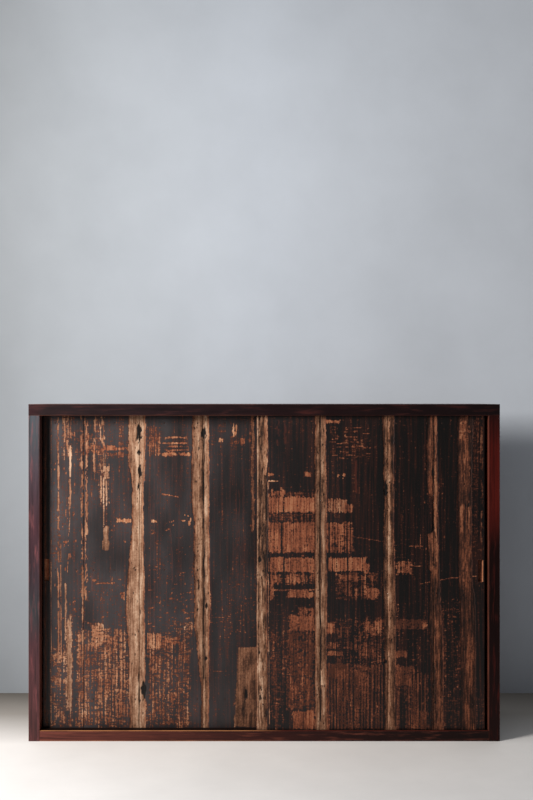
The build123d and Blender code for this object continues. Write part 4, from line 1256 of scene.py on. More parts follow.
# From the left door's left edge to its meeting edge, in the order of painting
LEFT_DOOR_WEAR: tuple[Mark, ...] = (
    # the rubbed feet of the boards
    Patch((112, 312), (40, 392), 0.5, 0.38, 14, 12, mottle=0.3, clump=0.45, fade=(20, 0, 0, 20)),
    Patch(
        (112, 312), (40, 400), 0.57, 0.7, 14, 10, 12.5, 0.6, 0.3, 19, 0.35, 0.5, 0.3, 0.2,
        fade=(20, 0, 0, 30),
    ),
    Patch(
        (172, 222), (322, 422), 0.72, 0.85, 8, 8, 10, 0.5, 0.4, 19, 0.4, raw=0.3,
        fade=(0, 0, 20, 20),
    ),
    Patch((220, 308), (298, 396), 0.6, 0.76, 9, 8, 11, 0.6, 0.4, 23, 0.4, 0.7, 0.3, 0.3),
    Patch((378, 545), (40, 380), 0.48, 0.34, 14, 12, mottle=0.3, clump=0.45, fade=(0, 20, 0, 20)),
    Patch(
        (378, 545), (40, 385), 0.51, 0.61, 14, 10, 12.5, 0.6, 0.35, 21, 0.35, 0.5, 0.25, 0.25,
        fade=(0, 20, 0, 20),
    ),
    Patch(
        (468, 567), (366, 428), 0.62, 0.72, 7, 7, 9, 0.5, 0.5, 16, 0.5, 0.7, 0.4, 0.3,
        fade=(25, 0, 0, 20),
    ),
    Patch((376, 428), (322, 382), 0.58, 0.8, 5, 6, 9, 0.6, 0.3, raw=0.2),
    Patch((427, 499), (330, 364), 0.5, 0.6, 6, 7, 12, 0.4, 0.45),
    Patch((28, 110), (38, 330), 0.55, 0.64, 10, 9, 9, 0.5, 0.5, 17, 0.5, raw=0.5, clump=0.5),
    # the first board: its head, and the painted shadow of the post on its left edge
    Patch((110, 190), (1030, 1140), 0.5, 0.5, 12, 10, 14, 0.5, 0.4, 16, 0.6, clump=0.5),
    Patch((112, 312), (1030, 1165), 0.42, 0.3, 12, 10, 16, 0.4, 0.3, 12, 0.6),
    # painted shadow that the left post casts on the door's left edge
    Patch((-9, 25), (30, 1180), 0.0, 0.66, 1, 2, mottle=0.1, layer=Layer.VOID),
    Streak((12, 40), (12, 1168), 9.0, 0.2, 0.9, 0.1, 2.0, Layer.RED),
    Streak((10, 130), (10, 1168), 7.0, 0.36, 0.64, 0.15, 1.5, raw=0.0),
    Patch((6, 22), (45, 130), 0.35, 0.6, 4, 4, clump=0.4, fade=(0, 0, 0, 30)),
    Streak((31, 40), (31, 1168), 2.6, 0.5, 0.75, 0.3, 0.8),
    # streaks of bare wood along the first joint
    Patch((70, 106), (1012, 1180), 0.56, 0.6, 6, 4, 8, 0.6, 0.45, 0, 0, 0.7, 0.6, 0.3),
    Streak((58, 300), (56, 1168), 7.5, 0.5, 0.8, 0.25, 1.4),
    Streak((67, 300), (65, 700), 4.4, 0.56, 0.85, 0.12, 1.0),
    Streak((97, 1020), (72, 1168), 8.0, 0.6, 0.8, 0.32, 3.0),
    Streak((101, 980), (103, 1168), 6.0, 0.64, 0.8, 0.3, 2.0),
    Streak((100, 950), (100, 1060), 8.0, 0.88, 0.95, 0.05, 1.0),
    Streak((98, 828), (100, 940), 11.0, 0.72, 0.85, 0.4, 3.0),
    Streak((92, 590), (97, 830), 5.0, 0.66, 0.8, 0.4, 3.0),
    Streak((83, 356), (83, 540), 5.5, 0.68, 0.85, 0.1, 1.0),
    Streak((144, 500), (144, 1168), 10.0, 0.56, 0.82, 0.38, 3.0),
    Streak((159, 500), (159, 1168), 11.0, 0.6, 0.82, 0.36, 2.5),
    Streak((146, 240), (145, 505), 5.0, 0.6, 0.8, 0.35, 1.5),
    Streak((190, 960), (189, 1168), 9.5, 0.6, 0.8, 0.28, 2.5),
    Streak((190, 760), (188, 960), 4.0, 0.5, 0.7, 0.5, 2.0),
    Streak((222, 1040), (214, 1168), 18.0, 0.66, 0.8, 0.42, 2.0),
    Patch((205, 236), (960, 1040), 0.55, 0.62, 8, 5, 7, 0.5, 0.5, raw=0.8),
    Patch((222, 240), (938, 985), 0.72, 0.85, 5, 4, 0, 0, 0.3, raw=0.8),
    Patch((201, 240), (840, 950), 0.68, 0.8, 6, 4, 9, 0.75, 0.4, raw=0.8, fade=(14, 0, 26, 0)),
    Streak((222, 770), (222, 850), 4.5, 0.62, 0.75, 0.1, 0.8),
    Patch((220, 240), (690, 768), 0.5, 0.9, 2.5, 2, 0, 0, 0.12, raw=1.0),
    Patch((216, 242), (682, 715), 0.52, 0.9, 2.5, 2, 0, 0, 0.12, raw=1.0),
    Patch((84, 106), (76, 450), 0.6, 0.9, 3.5, 3, 0, 0, 0.15, raw=1.0, fade=(7, 0, 90, 40)),
    Streak((84, 400), (82, 560), 8.0, 0.55, 0.85, 0.1, 1.5, raw=0.9),
    # level bars at the heads of the boards
    Patch((234, 268), (1043, 1062), 0.66, 0.88, 4, 3, 0, 0, 0.2),
    Patch((255, 310), (1046, 1056), 0.5, 0.6, 3, 3, 0, 0, 0.4),
    Patch((232, 308), (1018, 1036), 0.42, 0.5, 5, 5, 0, 0, 0.5),
    Patch((160, 236), (1030, 1062), 0.45, 0.5, 6, 6, 9, 0.3, 0.5),
    Patch((438, 530), (1087, 1095), 0.58, 0.8, 3, 3, 0, 0, 0.4, fade=(20, 12, 0, 0)),
    Patch((400, 530), (1079, 1082), 0.46, 0.5, 2, 3, 0, 0, 0.3, fade=(30, 30, 0, 0)),
    Patch((410, 530), (1067, 1073), 0.62, 0.84, 2, 3, 0, 0, 0.3, fade=(20, 12, 0, 0)),
    Patch((436, 532), (1056, 1061), 0.54, 0.74, 2, 3, 0, 0, 0.35, fade=(20, 12, 0, 0)),
    Patch((436, 536), (1043, 1048), 0.52, 0.72, 2, 3, 0, 0, 0.35, fade=(20, 12, 0, 0)),
    Patch((428, 540), (1024, 1037), 0.64, 0.94, 5, 4, 0, 0, 0.4, fade=(12, 8, 0, 0)),
    Patch((380, 428), (1024, 1130), 0.5, 0.56, 6, 6, 8, 0.7, 0.3),
    # scratches, chips and scattered spots
    Scratch((434, 886), (492, 875), 3.2, 0.55, 0.75),
    Patch((268, 322), (782, 796), 0.68, 0.9, 3.5, 2.5, 0, 0, 0.15),
    Patch((396, 416), (782, 793), 0.64, 0.85, 2.5, 2.5, 0, 0, 0.2),
    Specks((437, 478), (772, 788), 8, (5, 4), 101, 0.6, 0.8),
    Specks((505, 545), (770, 810), 5, (8, 13), 102, 0.65, 0.85),
    Specks((689, 706), (1094, 1140), 7, (8, 14), 103, 0.8, 0.85),
    Patch((690, 706), (1094, 1112), 0.75, 0.85, 4, 3, 0, 0, 0.1),
    Specks((641, 655), (1069, 1089), 4, (8, 10), 104, 0.8, 0.85),
    Patch((717, 735), (1068, 1089), 0.5, 0.85, 4, 3, 0, 0, 0.2),
    Patch((680, 760), (1066, 1086), 0.4, 0.4, 5, 4, 0, 0, 0.5),
    # the meeting edge, and thin red streaks
    Streak((764, 748), (762, 1170), 12.0, 0.48, 0.74, 0.1, 2.0),
    Streak((706, 573), (704, 922), 1.6, 0.3, 0.75, 0.2, 2.0, Layer.RED),
    Streak((718, 500), (714, 900), 1.8, 0.3, 0.8, 0.2, 3.0, Layer.RED),
    Streak((733, 573), (728, 1000), 2.0, 0.3, 0.7, 0.2, 3.0, Layer.RED),
    Streak((392, 350), (391, 1168), 2.2, 0.3, 0.8, 0.15, 2.0, Layer.RED),
    Streak((407, 300), (405, 1168), 2.6, 0.3, 0.8, 0.15, 2.0, Layer.RED),
    Streak((418, 500), (417, 1168), 1.8, 0.3, 0.7, 0.2, 2.0, Layer.RED),
    Streak((470, 560), (466, 760), 3.0, 0.3, 0.7, 0.3, 3.0, Layer.RED),
    Patch((198, 262), (559, 564), 0.5, 0.75, 1.5, 2, 0, 0, 0.3),
    Streak((182, 530), (180, 588), 9.0, 0.35, 0.9, 0.1, 2.0, Layer.RED),
    Patch((284, 298), (502, 530), 0.55, 0.8, 4, 3, 0, 0, 0.3),
    Scratch((619, 436), (659, 436), 2.2, 0.5, 0.8),
    Scratch((621, 241), (670, 243), 2.2, 0.45, 0.7),
    # fields of small spots
    Specks((115, 330), (400, 600), 120, (7, 3), 111, 0.42, 0.64),
    Specks((385, 560), (385, 560), 120, (9, 3), 112, 0.42, 0.64),
    Specks((35, 135), (300, 1150), 70, (4, 10), 113, 0.5, 0.66),
    Specks((385, 545), (560, 760), 60, (8, 3), 114, 0.38, 0.6),
    Specks((612, 775), (350, 560), 80, (6, 4), 115, 0.36, 0.6),
    Specks((612, 700), (45, 330), 12, (5, 8), 116, 0.33, 0.5),
    Specks((115, 310), (45, 400), 120, (5, 4), 117, 0.6, 0.78),
    Specks((380, 540), (45, 385), 110, (5, 4), 118, 0.55, 0.75),
    Specks((250, 310), (700, 780), 8, (6, 8), 119, 0.4, 0.6),
    # the strips
    Strip(
        343, 65, 401, 0.675, 0.16,
        edges=(
            (40, 6, -1), (140, 6, -2), (175, 4, -9), (215, 2, -3), (330, 2, -4), (472, -7, -5),
            (610, 2, -5), (700, 6, -8), (784, 15, -9), (900, 15, -9), (950, 12, -5), (990, 3, -4),
            (1170, 1, -3),
        ),
        crack=(40, 300), crack_x=6.0, galleries=0.12,
        profile=((0, -0.16), (0.3, -0.06), (0.5, 0.11), (0.75, 0.08), (1, -0.1)),
    ),
    Strip(
        576, 65, 402, 0.56, 0.19,
        edges=(
            (40, 32, -3), (205, 31, -3), (240, 26, -3), (370, 12, -2), (500, 6, 2), (700, 6, -3),
            (790, 6, -4), (860, -2, -1), (960, -2, -1), (1060, 1, -4), (1170, 1, -4),
        ),
        crack=(205, 1135), crack_x=9.0, galleries=0.18,
        profile=((0, -0.18), (0.4, 0.1), (0.6, -0.12), (0.8, 0.12), (1, -0.1)),
    ),
    Patch((695, 778), (40, 329), 0.36, 1.0, 2.5, 2.5, 11, 0.15, 0.08, raw=0.85, lean=17),
    Specks((716, 775), (60, 320), 26, (3, 16), 120, 0.5, 0.8),
    # holes
    Cavity((734, 745), (138, 180), 1.4),
    Cavity((340, 361), (1071, 1140)),
    Cavity((342, 358), (1027, 1049)),
    Cavity((344, 362), (944, 991)),
    Cavity((342, 352), (900, 925)),
    Cavity((572, 595), (1082, 1136)),
    Cavity((356, 377), (138, 208)),
    Cavity((590, 600), (468, 490)),
    Cavity((588, 598), (280, 296)),
)

# From the right door's meeting edge to its right edge, in the order of painting
RIGHT_DOOR_WEAR: tuple[Mark, ...] = (
    # the rubbed blocks of the first board
    Streak((75, 1068), (78, 1151), 12.0, 0.3, 0.6, 0.35, 2.0, Layer.RED),
    Streak((105, 1068), (100, 1151), 10.0, 0.3, 0.6, 0.35, 2.0, Layer.RED),
    Patch((41, 63), (952, 963), 0.5, 0.8, 3, 3, 0, 0, 0.2),
    Patch((173, 196), (952, 967), 0.5, 0.85, 3, 3, 0, 0, 0.2),
    Patch((40, 82), (932.5, 936.5), 0.8, 0.95, 1, 1.5, 0, 0, 0.1),
    Patch((45, 99), (872, 906), 0.48, 0.75, 12, 6, 13, 0.7, 0.3),
    Patch((100, 208), (872, 896), 0.36, 0.5, 9, 6, 13, 0.6, 0.4),
    Patch((44, 112), (822, 876), 0.5, 1.0, 4, 3, 11, 0.85, 0.12),
    Patch((104, 212), (822, 876), 0.55, 1.0, 4, 3, 15, 0.3, 0.12),
    Patch((44, 212), (786, 820), 0.35, 0.42, 8, 6, 15, 0.6, 0.4),
    Patch((44, 104), (676, 786), 0.44, 0.98, 4, 3, 13.5, 1.0, 0.15, 36, 0.35, 0.6),
    Patch((98, 150), (676, 786), 0.47, 0.98, 4, 3, 8, 0.85, 0.12, 36, 0.35, 0.6),
    Patch((142, 212), (676, 786), 0.45, 1.0, 4, 3, 15, 0.35, 0.15, 36, 0.35, 0.6),
    Patch((44, 142), (606, 658), 0.44, 0.98, 4, 3, 12.5, 0.9, 0.2, 26, 0.35, 0.6),
    Patch((134, 212), (606, 658), 0.45, 0.99, 4, 3, 15, 0.4, 0.2, 26, 0.3, 0.6),
    Patch((44, 212), (562, 600), 0.44, 0.66, 7, 4, 17, 0.75, 0.4),
    Patch((44, 212), (538, 544), 0.5, 0.72, 2, 2, 17, 0.5, 0.3),
    Patch((106, 212), (512, 537), 0.5, 0.85, 5, 3, 16, 0.4, 0.25),
    Patch((44, 60), (505, 560), 0.42, 0.6, 6, 4, 0, 0, 0.4),
    Patch((117, 212), (391, 451), 0.42, 0.84, 6, 5, 15, 0.35, 0.25),
    Patch((150, 212), (450, 478), 0.45, 0.6, 6, 4, 0, 0, 0.3),
    Patch((99, 212), (104, 391), 0.25, 0.6, 10, 8, 9, 0.3, 0.45, 30, 0.4, fade=(25, 0, 0, 0)),
    Patch((45, 99), (40, 391), 0.27, 0.36, 10, 8, 8, 0.4, 0.5),
    Patch((131, 212), (39, 104), 0.36, 0.8, 4, 4, 12, 0.3, 0.2),
    Specks((45, 210), (400, 540), 40, (6, 4), 201, 0.4, 0.6),
    Specks((45, 210), (45, 390), 150, (5, 4), 202, 0.42, 0.72),
    Specks((45, 210), (620, 1160), 50, (5, 6), 203, 0.35, 0.55),
    # the second board
    Patch((251, 301), (1142, 1154), 0.58, 0.85, 3, 2.5, 0, 0, 0.3),
    Specks((268, 406), (1010, 1130), 80, (17, 2.2), 204, 0.42, 0.62),
    Patch((262, 410), (1000, 1140), 0.4, 0.3, 10, 9, 17, 0.5, 0.4, 11, 0.7, clump=0.6),
    Specks((268, 330), (1050, 1130), 9, (8, 4), 205, 0.55, 0.74),
    Specks((283, 316), (943, 958), 5, (9, 6), 206, 0.5, 0.75),
    Streak((360, 891), (359, 1010), 9.0, 0.3, 0.8, 0.1, 1.5, Layer.RED),
    Patch((253, 330), (822, 870), 0.5, 0.82, 5, 4, 9, 0.7, 0.3, raw=0.4),
    Patch((318, 346), (822, 852), 0.42, 0.8, 6, 4, 10, 0.5, 0.3),
    Patch((254, 352), (676, 783), 0.44, 0.82, 5, 3, 9.5, 0.75, 0.4, 24, 0.5),
    Patch((253, 395), (608, 658), 0.53, 1.0, 4, 3, 14.5, 0.85, 0.1, jitter=0.5),
    Patch((384, 410), (600, 640), 0.42, 0.75, 6, 4, 0, 0, 0.3),
    Patch((287, 438), (508, 606), 0.33, 0.54, 7, 4, 14, 0.8, 0.5, 19, 0.6),
    Patch((300, 430), (575, 596), 0.44, 0.7, 4, 3, 14, 0.6, 0.35),
    Patch((396, 443), (508, 548), 0.46, 0.85, 6, 4, 12, 0.35, 0.25),
    Scratch((341, 734), (458, 716), 2.2, 0.3, 0.6),
    Patch((253, 284), (386, 423), 0.42, 0.8, 5, 4, 9, 0.4, 0.3),
    Patch((253, 312), (303, 321), 0.5, 0.8, 3, 3, 9, 0.4, 0.3),
    Patch((253, 300), (330, 350), 0.42, 0.6, 4, 4, 9, 0.4, 0.3),
    Patch(
        (253, 460), (39, 274), 0.26, 0.82, 6, 8, 12.5, 1.1, 0.2, 27, 0.3, jitter=0.4, narrow=0.12,
    ),
    Patch((253, 330), (225, 274), 0.24, 0.72, 8, 8, mottle=0.3),
    Patch((290, 460), (274, 440), 0.31, 0.55, 10, 8, 13.5, 0.9, 0.4, clump=0.5, narrow=0.25),
    Patch((400, 455), (375, 430), 0.4, 0.65, 6, 5, 12, 0.5, 0.4),
    Specks((290, 455), (60, 430), 100, (5, 5), 207, 0.42, 0.66),
    # the third board
    Specks((500, 615), (440, 1160), 40, (4, 5), 208, 0.35, 0.55),
    Scratch((552, 700), (599, 700), 2.2, 0.45, 0.7),
    Scratch((590, 690), (592, 740), 2.2, 0.45, 0.7),
    Patch((507, 560), (598, 645), 0.5, 0.66, 6, 3, 12, 0.5, 0.55),
    Scratch((520, 633), (590, 626), 2.4, 0.5, 0.75),
    Patch((502, 617), (397, 435), 0.2, 0.56, 5, 4, 11, 0.4, 0.45),
    Patch((597, 616), (402, 425), 0.46, 0.8, 4, 3, 0, 0, 0.2),
    Patch((502, 543), (297, 320), 0.36, 0.76, 5, 4, 0, 0, 0.3),
    Patch((500, 568), (237, 268), 0.32, 0.74, 6, 5, 16, 0.3, 0.35),
    Patch((500, 575), (39, 200), 0.2, 0.42, 6, 8, 12.5, 0.85, 0.3),
    Patch((500, 560), (195, 237), 0.27, 0.78, 6, 6, mottle=0.2),
    Patch((560, 620), (39, 237), 0.27, 0.82, 6, 8, 12.5, 1.15, 0.15, jitter=0.4, narrow=0.1),
    Patch((575, 617), (39, 104), 0.33, 0.78, 3, 3, 13, 0.75, 0.1),
    Specks((500, 617), (110, 400), 60, (5, 4), 209, 0.35, 0.6),
    # the fourth board
    Patch((661, 734), (39, 500), 0.2, 0.29, 10, 8, 9, 0.5, 0.45, 16, 0.4),
    Specks((661, 735), (120, 520), 90, (7, 3.5), 210, 0.38, 0.64),
    Specks((661, 735), (520, 1160), 26, (5, 5), 211, 0.35, 0.58),
    Scratch((593, 563), (700, 584), 2.2, 0.48, 0.75),
    Scratch((690, 583), (792, 591), 2.4, 0.5, 0.78),
    Streak((700, 556), (700, 640), 2.0, 0.3, 0.7, 0.3, 2.0, Layer.RED),
    Patch((778, 802), (700, 1165), 0.18, 0.28, 8, 6, 8, 0.5, 0.4),
    Streak((812, 660), (813, 1168), 11.0, 0.3, 0.52, 0.4, 2.0),
    # the strips, their tones falling towards the right: partly their own darker wood, partly
    # painted shade of the light's fall-off
    Strip(
        19, 40, 501, 0.37, 0.42, galleries=0.35,
        along=(
            (430, 0.08), (470, 0.12), (560, 0.1), (650, -0.08), (940, -0.16), (1000, -0.1),
            (1171, -0.03),
        ),
    ),
    # painted highlight: the door's left edge, lit from the left
    Streak((4, 40), (4, 1168), 3.4, 0.75, 0.9, 0.1, 0.4, raw=1.0),
    Streak((32, 960), (34, 1168), 13.0, 0.66, 0.9, 0.22, 2.0),
    # painted highlight: the step at the strip's right edge, lit from the left
    Streak((46, 40), (41, 934), 1.9, 0.75, 0.9, 0.06, 0.4),
    Strip(
        230.5, 43, 502, 0.375, 0.27,
        edges=((40, 2, 1), (330, 1, 0), (520, 0, 2), (700, 1, -1), (900, 0, 1), (1170, 2, -3)),
        crack=(60, 1168), galleries=0.18, along=((500, 0.08), (900, 0.0)),
        profile=((0, -0.06), (0.25, 0.12), (0.5, -0.12), (0.78, 0.14), (1, -0.1)),
    ),
    Streak((234, 201), (233, 249), 9.0, 0.9, 0.98, 0.0, 0.6),
    Strip(
        477, 42, 503, 0.34, 0.27,
        edges=((40, 5, 5), (300, 5, 4), (520, 2, 3), (800, 3, -5), (900, 3, -3), (1170, 0, 0)),
        galleries=0.15, raw=0.85, along=((450, -0.06), (560, 0.01)),
        profile=((0, -0.12), (0.35, 0.1), (0.55, 0.16), (0.8, -0.04), (1, -0.14)),
    ),
    Streak((478, 60), (480, 1150), 5.5, 0.72, 0.85, 0.35, 2.5),
    Strip(
        640, 42, 504, 0.235, 0.28,
        edges=(
            (40, 12, 22), (300, 12, 14), (480, 4, 4), (606, 11, -3), (622, 0, -3), (741, -2, -4),
            (752, 17, -5), (870, 16, -6), (900, -3, -7), (956, -5, -8), (1170, -3, -8),
        ),
        crack=(745, 1000), crack_x=-3.0, galleries=0.1, raw=0.25,
        along=((500, -0.06), (700, 0.03)),
    ),
    Streak((646, 752), (647, 948), 9.0, 0.55, 0.92, 0.1, 1.5, raw=0.3),
    Streak((647, 958), (647, 1168), 5.0, 0.5, 0.86, 0.25, 1.0, raw=0.3),
    Streak((631, 960), (630, 1150), 4.0, 0.46, 0.8, 0.35, 1.5, raw=0.3),
    Streak((640, 1075), (639, 1135), 3.0, wear=0.9, gaps=0.05, wander=0.8, layer=Layer.VOID),
    Streak((637, 960), (636, 1000), 3.0, wear=0.9, gaps=0.05, wander=0.8, layer=Layer.VOID),
    Streak((640, 640), (639, 745), 2.4, wear=0.8, gaps=0.15, wander=1.5, layer=Layer.VOID),
    Streak((652, 640), (651, 748), 4.0, 0.5, 0.85, 0.2, 1.0, raw=0.3),
    Patch((617, 634), (885, 950), 0.28, 0.6, 5, 4, 7, 0.4, 0.5),
    Strip(
        752, 50, 505, 0.18, 0.2,
        edges=((40, 10, 18), (300, 10, 18), (505, 10, 14), (600, 2, 0), (1170, 0, 2)),
        galleries=0.05, depth=0.5, wear=0.94, raw=0.15, along=((500, -0.05), (700, 0.0)),
    ),
    Specks((731, 768), (1080, 1170), 22, (8, 6), 212, 0.5, 0.85),
    Specks((740, 775), (560, 1090), 36, (3, 18), 213, 0.42, 0.8),
    Streak((741, 752), (741, 846), 10.0, 0.52, 0.86, 0.18, 2.5, raw=0.2),
    Streak((767, 762), (765, 858), 4.0, 0.46, 0.8, 0.3, 1.5, raw=0.2),
    Streak((756, 868), (753, 1085), 5.0, 0.48, 0.85, 0.25, 3.0, raw=0.2),
    Streak((748, 908), (749, 958), 2.6, wear=0.9, gaps=0.05, wander=0.8, layer=Layer.VOID),
    # holes
    Cavity((5, 19), (640, 665), 3.0),
    Cavity((460, 475), (878, 941)),
    Cavity((462, 474), (272, 293)),
    Cavity((634, 643), (748, 790)),
    Cavity((632, 642), (935, 985)),
    Cavity((752, 758), (833, 862), 1.4),
    Cavity((762, 769), (838, 858), 1.4),
    Cavity((8, 16), (140, 170), 1.6),
    Cavity((12, 20), (178, 196), 1.6),
)


# ---- The case ----------------------------------------------------------------------------------
@dataclass(frozen=True)
class Case:
    """The post-and-rail case: its frame, panels, boards and shelves, which keep their shapes."""

    # Each finish, and the pattern of the names of the nodes that take it
    finishes: tuple[tuple[str, str], ...] = (
        ("head_rail_lacquer", r"head_rail"),
        ("sill_lacquer", r"sill"),
        ("left_post_lacquer", r"front_left_post"),
        ("right_post_lacquer", r"front_right_post"),
        ("brown_lacquer_upright", r"back_\w+_post|\w+_panel"),
        ("brown_lacquer_deep", r"(top|middle|bottom)_(left|right)_rail|tenon_wedges"),
        ("brown_lacquer_across", r"top_board_\d|top_back_rail"),
        ("cedar_across", r"(middle|bottom)_back_rail|floor_board_\d"),
        ("cedar_across", r"\w+_shelf_(front_rail|back_rail|boards)|\w+_ledge"),
        ("cedar_deep", r"\w+_bearers|\w+_ledgers"),
        ("cedar_upright", r"back_boards"),
        ("forged_iron", r"\w+_nails"),
    )

    def dress(self, materials: Mapping[str, bpy.types.Material]) -> None:
        """Gives every node that keeps its shape its material.

        Args:
            materials: The materials by name.
        """
        for name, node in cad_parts.items():
            for finish, pattern in self.finishes:
                if re.fullmatch(pattern, name):
                    node.data.materials.clear()
                    node.data.materials.append(materials[finish])
                    log.info("%s: %s", name, finish)


# ---- Surroundings ------------------------------------------------------------------------------
@dataclass(frozen=True)
class Sky:
    """Light from one side of the sky, which rises towards it."""

    towards: tuple[float, float, float]  # where it is brightest
    start: float  # the cosine of the angle to that at which it begins
    least: float
    most: float


@dataclass(frozen=True)
class Studio:
    """A pale floor and wall, a tall soft light at the upper left, and the camera."""

    wall_y: float = 430.0
    # Painted shade: the wall is painted darker towards the left, where the light leaves it
    wall: Stops = ((-1200, "#7f8387"), (-600, "#a4aab1"), (0, "#bac1ca"), (1200, "#cdd3db"))
    # Painted shade: the floor is painted darker towards the wall and behind the cabinet, and darker
    # far in front to hold down the lamp's bright pool
    floor: Stops = (
        (-2400, "#a9a8a7"), (-1150, "#b8b7b6"), (-820, "#dad9d8"), (-260, "#dedbd8"),
        (120, "#8f8a84"), (430, "#5e5a55"),
    )
    reach: float = 9000.0  # how far the floor and the wall go
    sky_colour: str = "#f0f4fa"
    skies: tuple[Sky, ...] = (
        Sky((-0.75, -0.55, 0.45), -0.7, 0.015, 0.27),
        Sky((0.0, 1.0, 0.15), 0.0, 0.0, 0.75),  # behind the cabinet, which lights its back
    )
    lamp_at: tuple[float, float, float] = (-2.35, -1.95, 2.25)
    lamp_aim: tuple[float, float, float] = (0.0, 0.0, 0.6)
    lamp_size: Pair = (0.8, 1.5)
    lamp_power: float = 170.0  # in watts
    lamp_colour: str = "#fffbf7"
    camera_at: tuple[float, float, float] = (0.0083, -4.2225, 1.227)
    lens: float = 50.0  # its focal length in millimetres

    def plane(self, near: Pair, far: Pair, name: str, finish: Plaster) -> bpy.types.Object:
        """Makes a flat face that reaches as far to the left as to the right.

        Args:
            near: The Y and Z of the edge that comes first, anticlockwise from the left.
            far: The Y and Z of the edge across from it.
            name: The object's name.
            finish: Its plaster.

        Returns:
            The object.
        """
        left, right = -self.reach, self.reach
        corners = np.array([(left, *near), (right, *near), (right, *far), (left, *far)])
        mesh = bpy.data.meshes.new(name)
        mesh.from_pydata((corners * METRES).tolist(), [], [(0, 1, 2, 3)])
        mesh.materials.append(finish.make())
        piece = link_object(name, mesh)
        return piece

    def build(self) -> None:
        """Makes the floor, the wall, the light and the camera."""
        plaster = Plaster("floor_plaster", self.floor, axis=1)
        self.plane((-self.reach, 0.0), (self.reach, 0.0), "floor", plaster)
        plaster = Plaster("wall_plaster", self.wall, axis=0, one_sided=True)
        wall = self.plane((self.wall_y, 0.0), (self.wall_y, self.reach), "wall", plaster)
        wall.visible_shadow = False
        wall.visible_diffuse = False
        self.light_sky()
        self.hang_lamp()
        camera = bpy.data.cameras.new("camera")
        camera.lens = self.lens
        eye = link_object("camera", camera)
        eye.location = self.camera_at
        eye.rotation_euler = (math.pi / 2, 0.0, 0.0)
        bpy.context.scene.camera = eye
        bpy.context.scene.view_settings.view_transform = "Standard"

    def light_sky(self) -> None:
        """Makes the world, whose strength rises with the cosine to each bright side."""
        world = bpy.data.worlds.new("studio")
        tree = start_tree(world)
        ray = add_node(tree, "TexCoord", out="Generated")
        strengths = []
        for sky in self.skies:
            dot = {"operation": "DOT_PRODUCT"}
            facing = add_node(tree, "VectorMath", dot, {1: sky.towards}, {0: ray}, "Value")
            ends = {"From Min": sky.start, "To Min": sky.least, "To Max": sky.most}
            strengths.append(add_node(tree, "MapRange", EASED, ends, {"Value": facing}))
        both = add_node(tree, "Math", {"operation": "ADD"}, None, dict(enumerate(strengths)))
        colour = {"Color": linear(self.sky_colour)}
        light = add_node(tree, "Background", None, colour, {"Strength": both})
        add_node(tree, "OutputWorld", links={"Surface": light})
        bpy.context.scene.world = world

    def hang_lamp(self) -> None:
        """Makes the tall soft light and turns it to what it lights."""
        lamp = bpy.data.lights.new("window", "AREA")
        lamp.shape = "RECTANGLE"
        lamp.size, lamp.size_y = self.lamp_size
        lamp.energy = self.lamp_power
        lamp.color = linear(self.lamp_colour)[:3]
        window = link_object("window", lamp)
        window.location = self.lamp_at
        aim = np.array(self.lamp_aim) - np.array(self.lamp_at)
        tilt = math.acos(-aim[2] / np.linalg.norm(aim))
        window.rotation_euler = (tilt, 0.0, math.atan2(aim[1], aim[0]) - math.pi / 2)


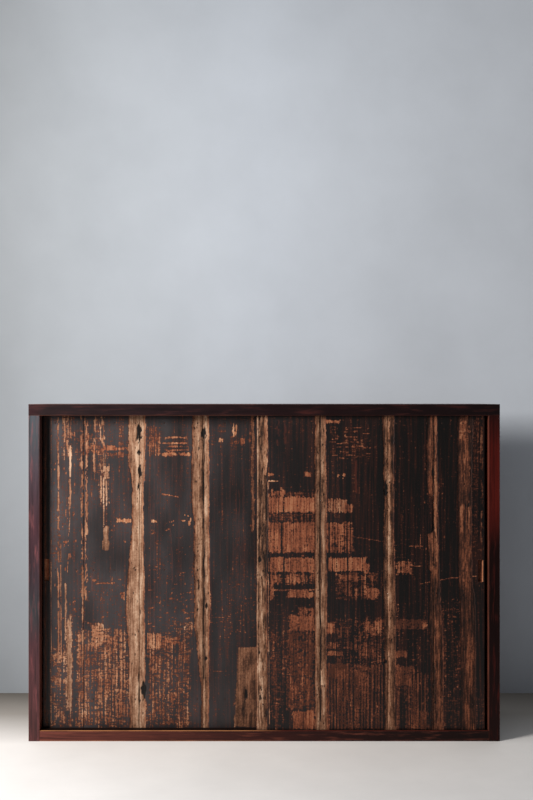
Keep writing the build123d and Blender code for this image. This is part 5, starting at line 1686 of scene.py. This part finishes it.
# ---- Materials by name -------------------------------------------------------------------------
def make_materials() -> dict[str, bpy.types.Material]:
    """Makes every material of the cabinet.

    Returns:
        The materials by name.
    """
    head_foot, head_top = (corner.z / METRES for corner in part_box("head_rail"))
    sill_front, sill_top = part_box("sill")[0].y / METRES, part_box("sill")[1].z / METRES
    post_inner, post_outer = (corner.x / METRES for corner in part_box("front_right_post"))
    back_left, back_right = (corner.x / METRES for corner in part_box("back_boards"))
    boards = (0, back_left, (back_right - back_left) / BACK_BOARDS)
    brown = ((-230.0, "#402a23"), (230.0, "#36241e"))
    cedar = ((-230.0, "#8a6242"), (230.0, "#7c573b"))
    finishes: list[Finish] = [
        WornLacquer(),
        ForgedIron(),
        GrainedWood(
            "head_rail_lacquer",
            (
                # Darker towards the right: partly its own tone, partly painted shade of the light's
                # fall-off
                (-850, "#2a1013"), (-790, "#190b0d"), (-300, "#1c0d10"), (250, "#190a0b"),
                (850, "#130809"),
            ),
            Run.ACROSS,
            axis=0,
            grain="#0f0708",
            grain_share=0.7,
            worn="#552520",
            worn_share=0.4,
            gloss=0.14,
            edges=((head_foot, 1.3, 2.6), (head_top, 0.9, 2.6)),
            edge_shades=("#70402f", "#50281f"),
        ),
        GrainedWood(
            "sill_lacquer",
            (
                # Darker towards the right: partly its own tone, partly painted shade of the light's
                # fall-off
                (-850, "#66362f"), (-500, "#502821"), (0, "#311411"), (420, "#1c0a08"),
                (850, "#100504"),
            ),
            Run.ACROSS,
            axis=0,
            grain="#190b0a",
            grain_share=0.7,
            worn="#7c4232",
            worn_share=0.55,
            gloss=0.14,
            # The arris at the sill's top takes its whole top face: orange on the left, partly
            # rubbed lacquer, partly painted highlight of the lit lip
            edges=((0.0, 1.5, 3.5), (sill_top, 1.9, 0.8)),
            edge_shades=("#b5794d", "#54231b"),
            # painted shade over the grooves behind the sill's lit lip
            painted_shade_behind=sill_front + UNSHADED_LIP,
        ),
        GrainedWood(
            "left_post_lacquer",
            (
                # Its slate-grey stops are painted sheen, the light's reflection on the lacquer; the
                # maroon ones are its own colour
                (0, "#4c2928"), (350, "#402529"), (470, "#2c3033"), (560, "#35292f"),
                (760, "#3e2229"), (960, "#3c2f36"), (1080, "#393b40"), (1171, "#3c4046"),
            ),
            Run.UPRIGHT,
            axis=2,
            grain="#190e10",
            grain_share=0.75,
            worn="#7d4344",
            worn_share=0.6,
            gloss=0.24,
            edges=((-post_outer, 0.6, 2.6), (-post_inner, 1.0, 2.6)),
            edge_axis=0,
        ),
        GrainedWood(
            "right_post_lacquer",
            (
                (0, "#1d0b0a"), (500, "#120605"), (700, "#180706"), (840, "#4f150f"),
                (1060, "#4b140f"), (1171, "#270d0b"),
            ),
            Run.UPRIGHT,
            axis=2,
            grain="#150706",
            grain_share=0.6,
            worn="#5a1c14",
            worn_share=0.45,
            gloss=0.1,
            edges=((post_inner, 0.8, 2.2), (post_outer, 0.5, 2.6)),
            edge_axis=0,
        ),
    ]
    for run in Run:
        way = run.name.lower()
        finishes.append(GrainedWood(f"brown_lacquer_{way}", brown, run, 1, "#231713"))
        bare = {"worn": "#a5805a", "roughness": 0.78, "board": boards if way == "upright" else None}
        finishes.append(GrainedWood(f"cedar_{way}", cedar, run, 1, "#5a3c28", **bare))
    return {finish.name: finish.make() for finish in finishes}


def main() -> None:
    """Builds the cabinet's finish and surroundings."""
    logging.basicConfig(level=logging.INFO, format="%(name)s: %(message)s")
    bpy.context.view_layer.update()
    materials = make_materials()
    Case().dress(materials)
    doors = (
        Door(
            "left_door",
            "door_left",
            LEFT_DOOR_WEAR,
            seed=1000,
            # painted sheen across the door, strongest at its left and none in the post's shadow
            haze=(
                (0, 0), (22, 0), (30, 0.97), (80, 0.8), (250, 0.66), (560, 0.61), (640, 0.42),
                (700, 0.36), (824, 0.22),
            ),
            rub=((40, 0.08), (330, 0.1), (450, 0.13), (700, 0.12), (1000, 0.14), (1171, 0.13)),
        ),
        Door(
            "right_door",
            "door_right",
            RIGHT_DOOR_WEAR,
            seed=2000,
            # painted sheen, faint and only towards the door's left
            haze=((0, 0.17), (300, 0.09), (480, 0.01), (824, 0.0)),
            rub=((40, 0.15), (300, 0.12), (500, 0.08), (1000, 0.06), (1171, 0.1)),
            pull_at_left=False,
            pull_tone=0.22,
            # the pull's lit slope painted much lighter than its floor
            slope_highlight=0.42,
        ),
    )
    for door in doors:
        door.build(materials["worn_black_lacquer"], materials["cedar_upright"])
    Studio().build()
    bpy.context.view_layer.update()


if __name__ == "__main__":
    main()
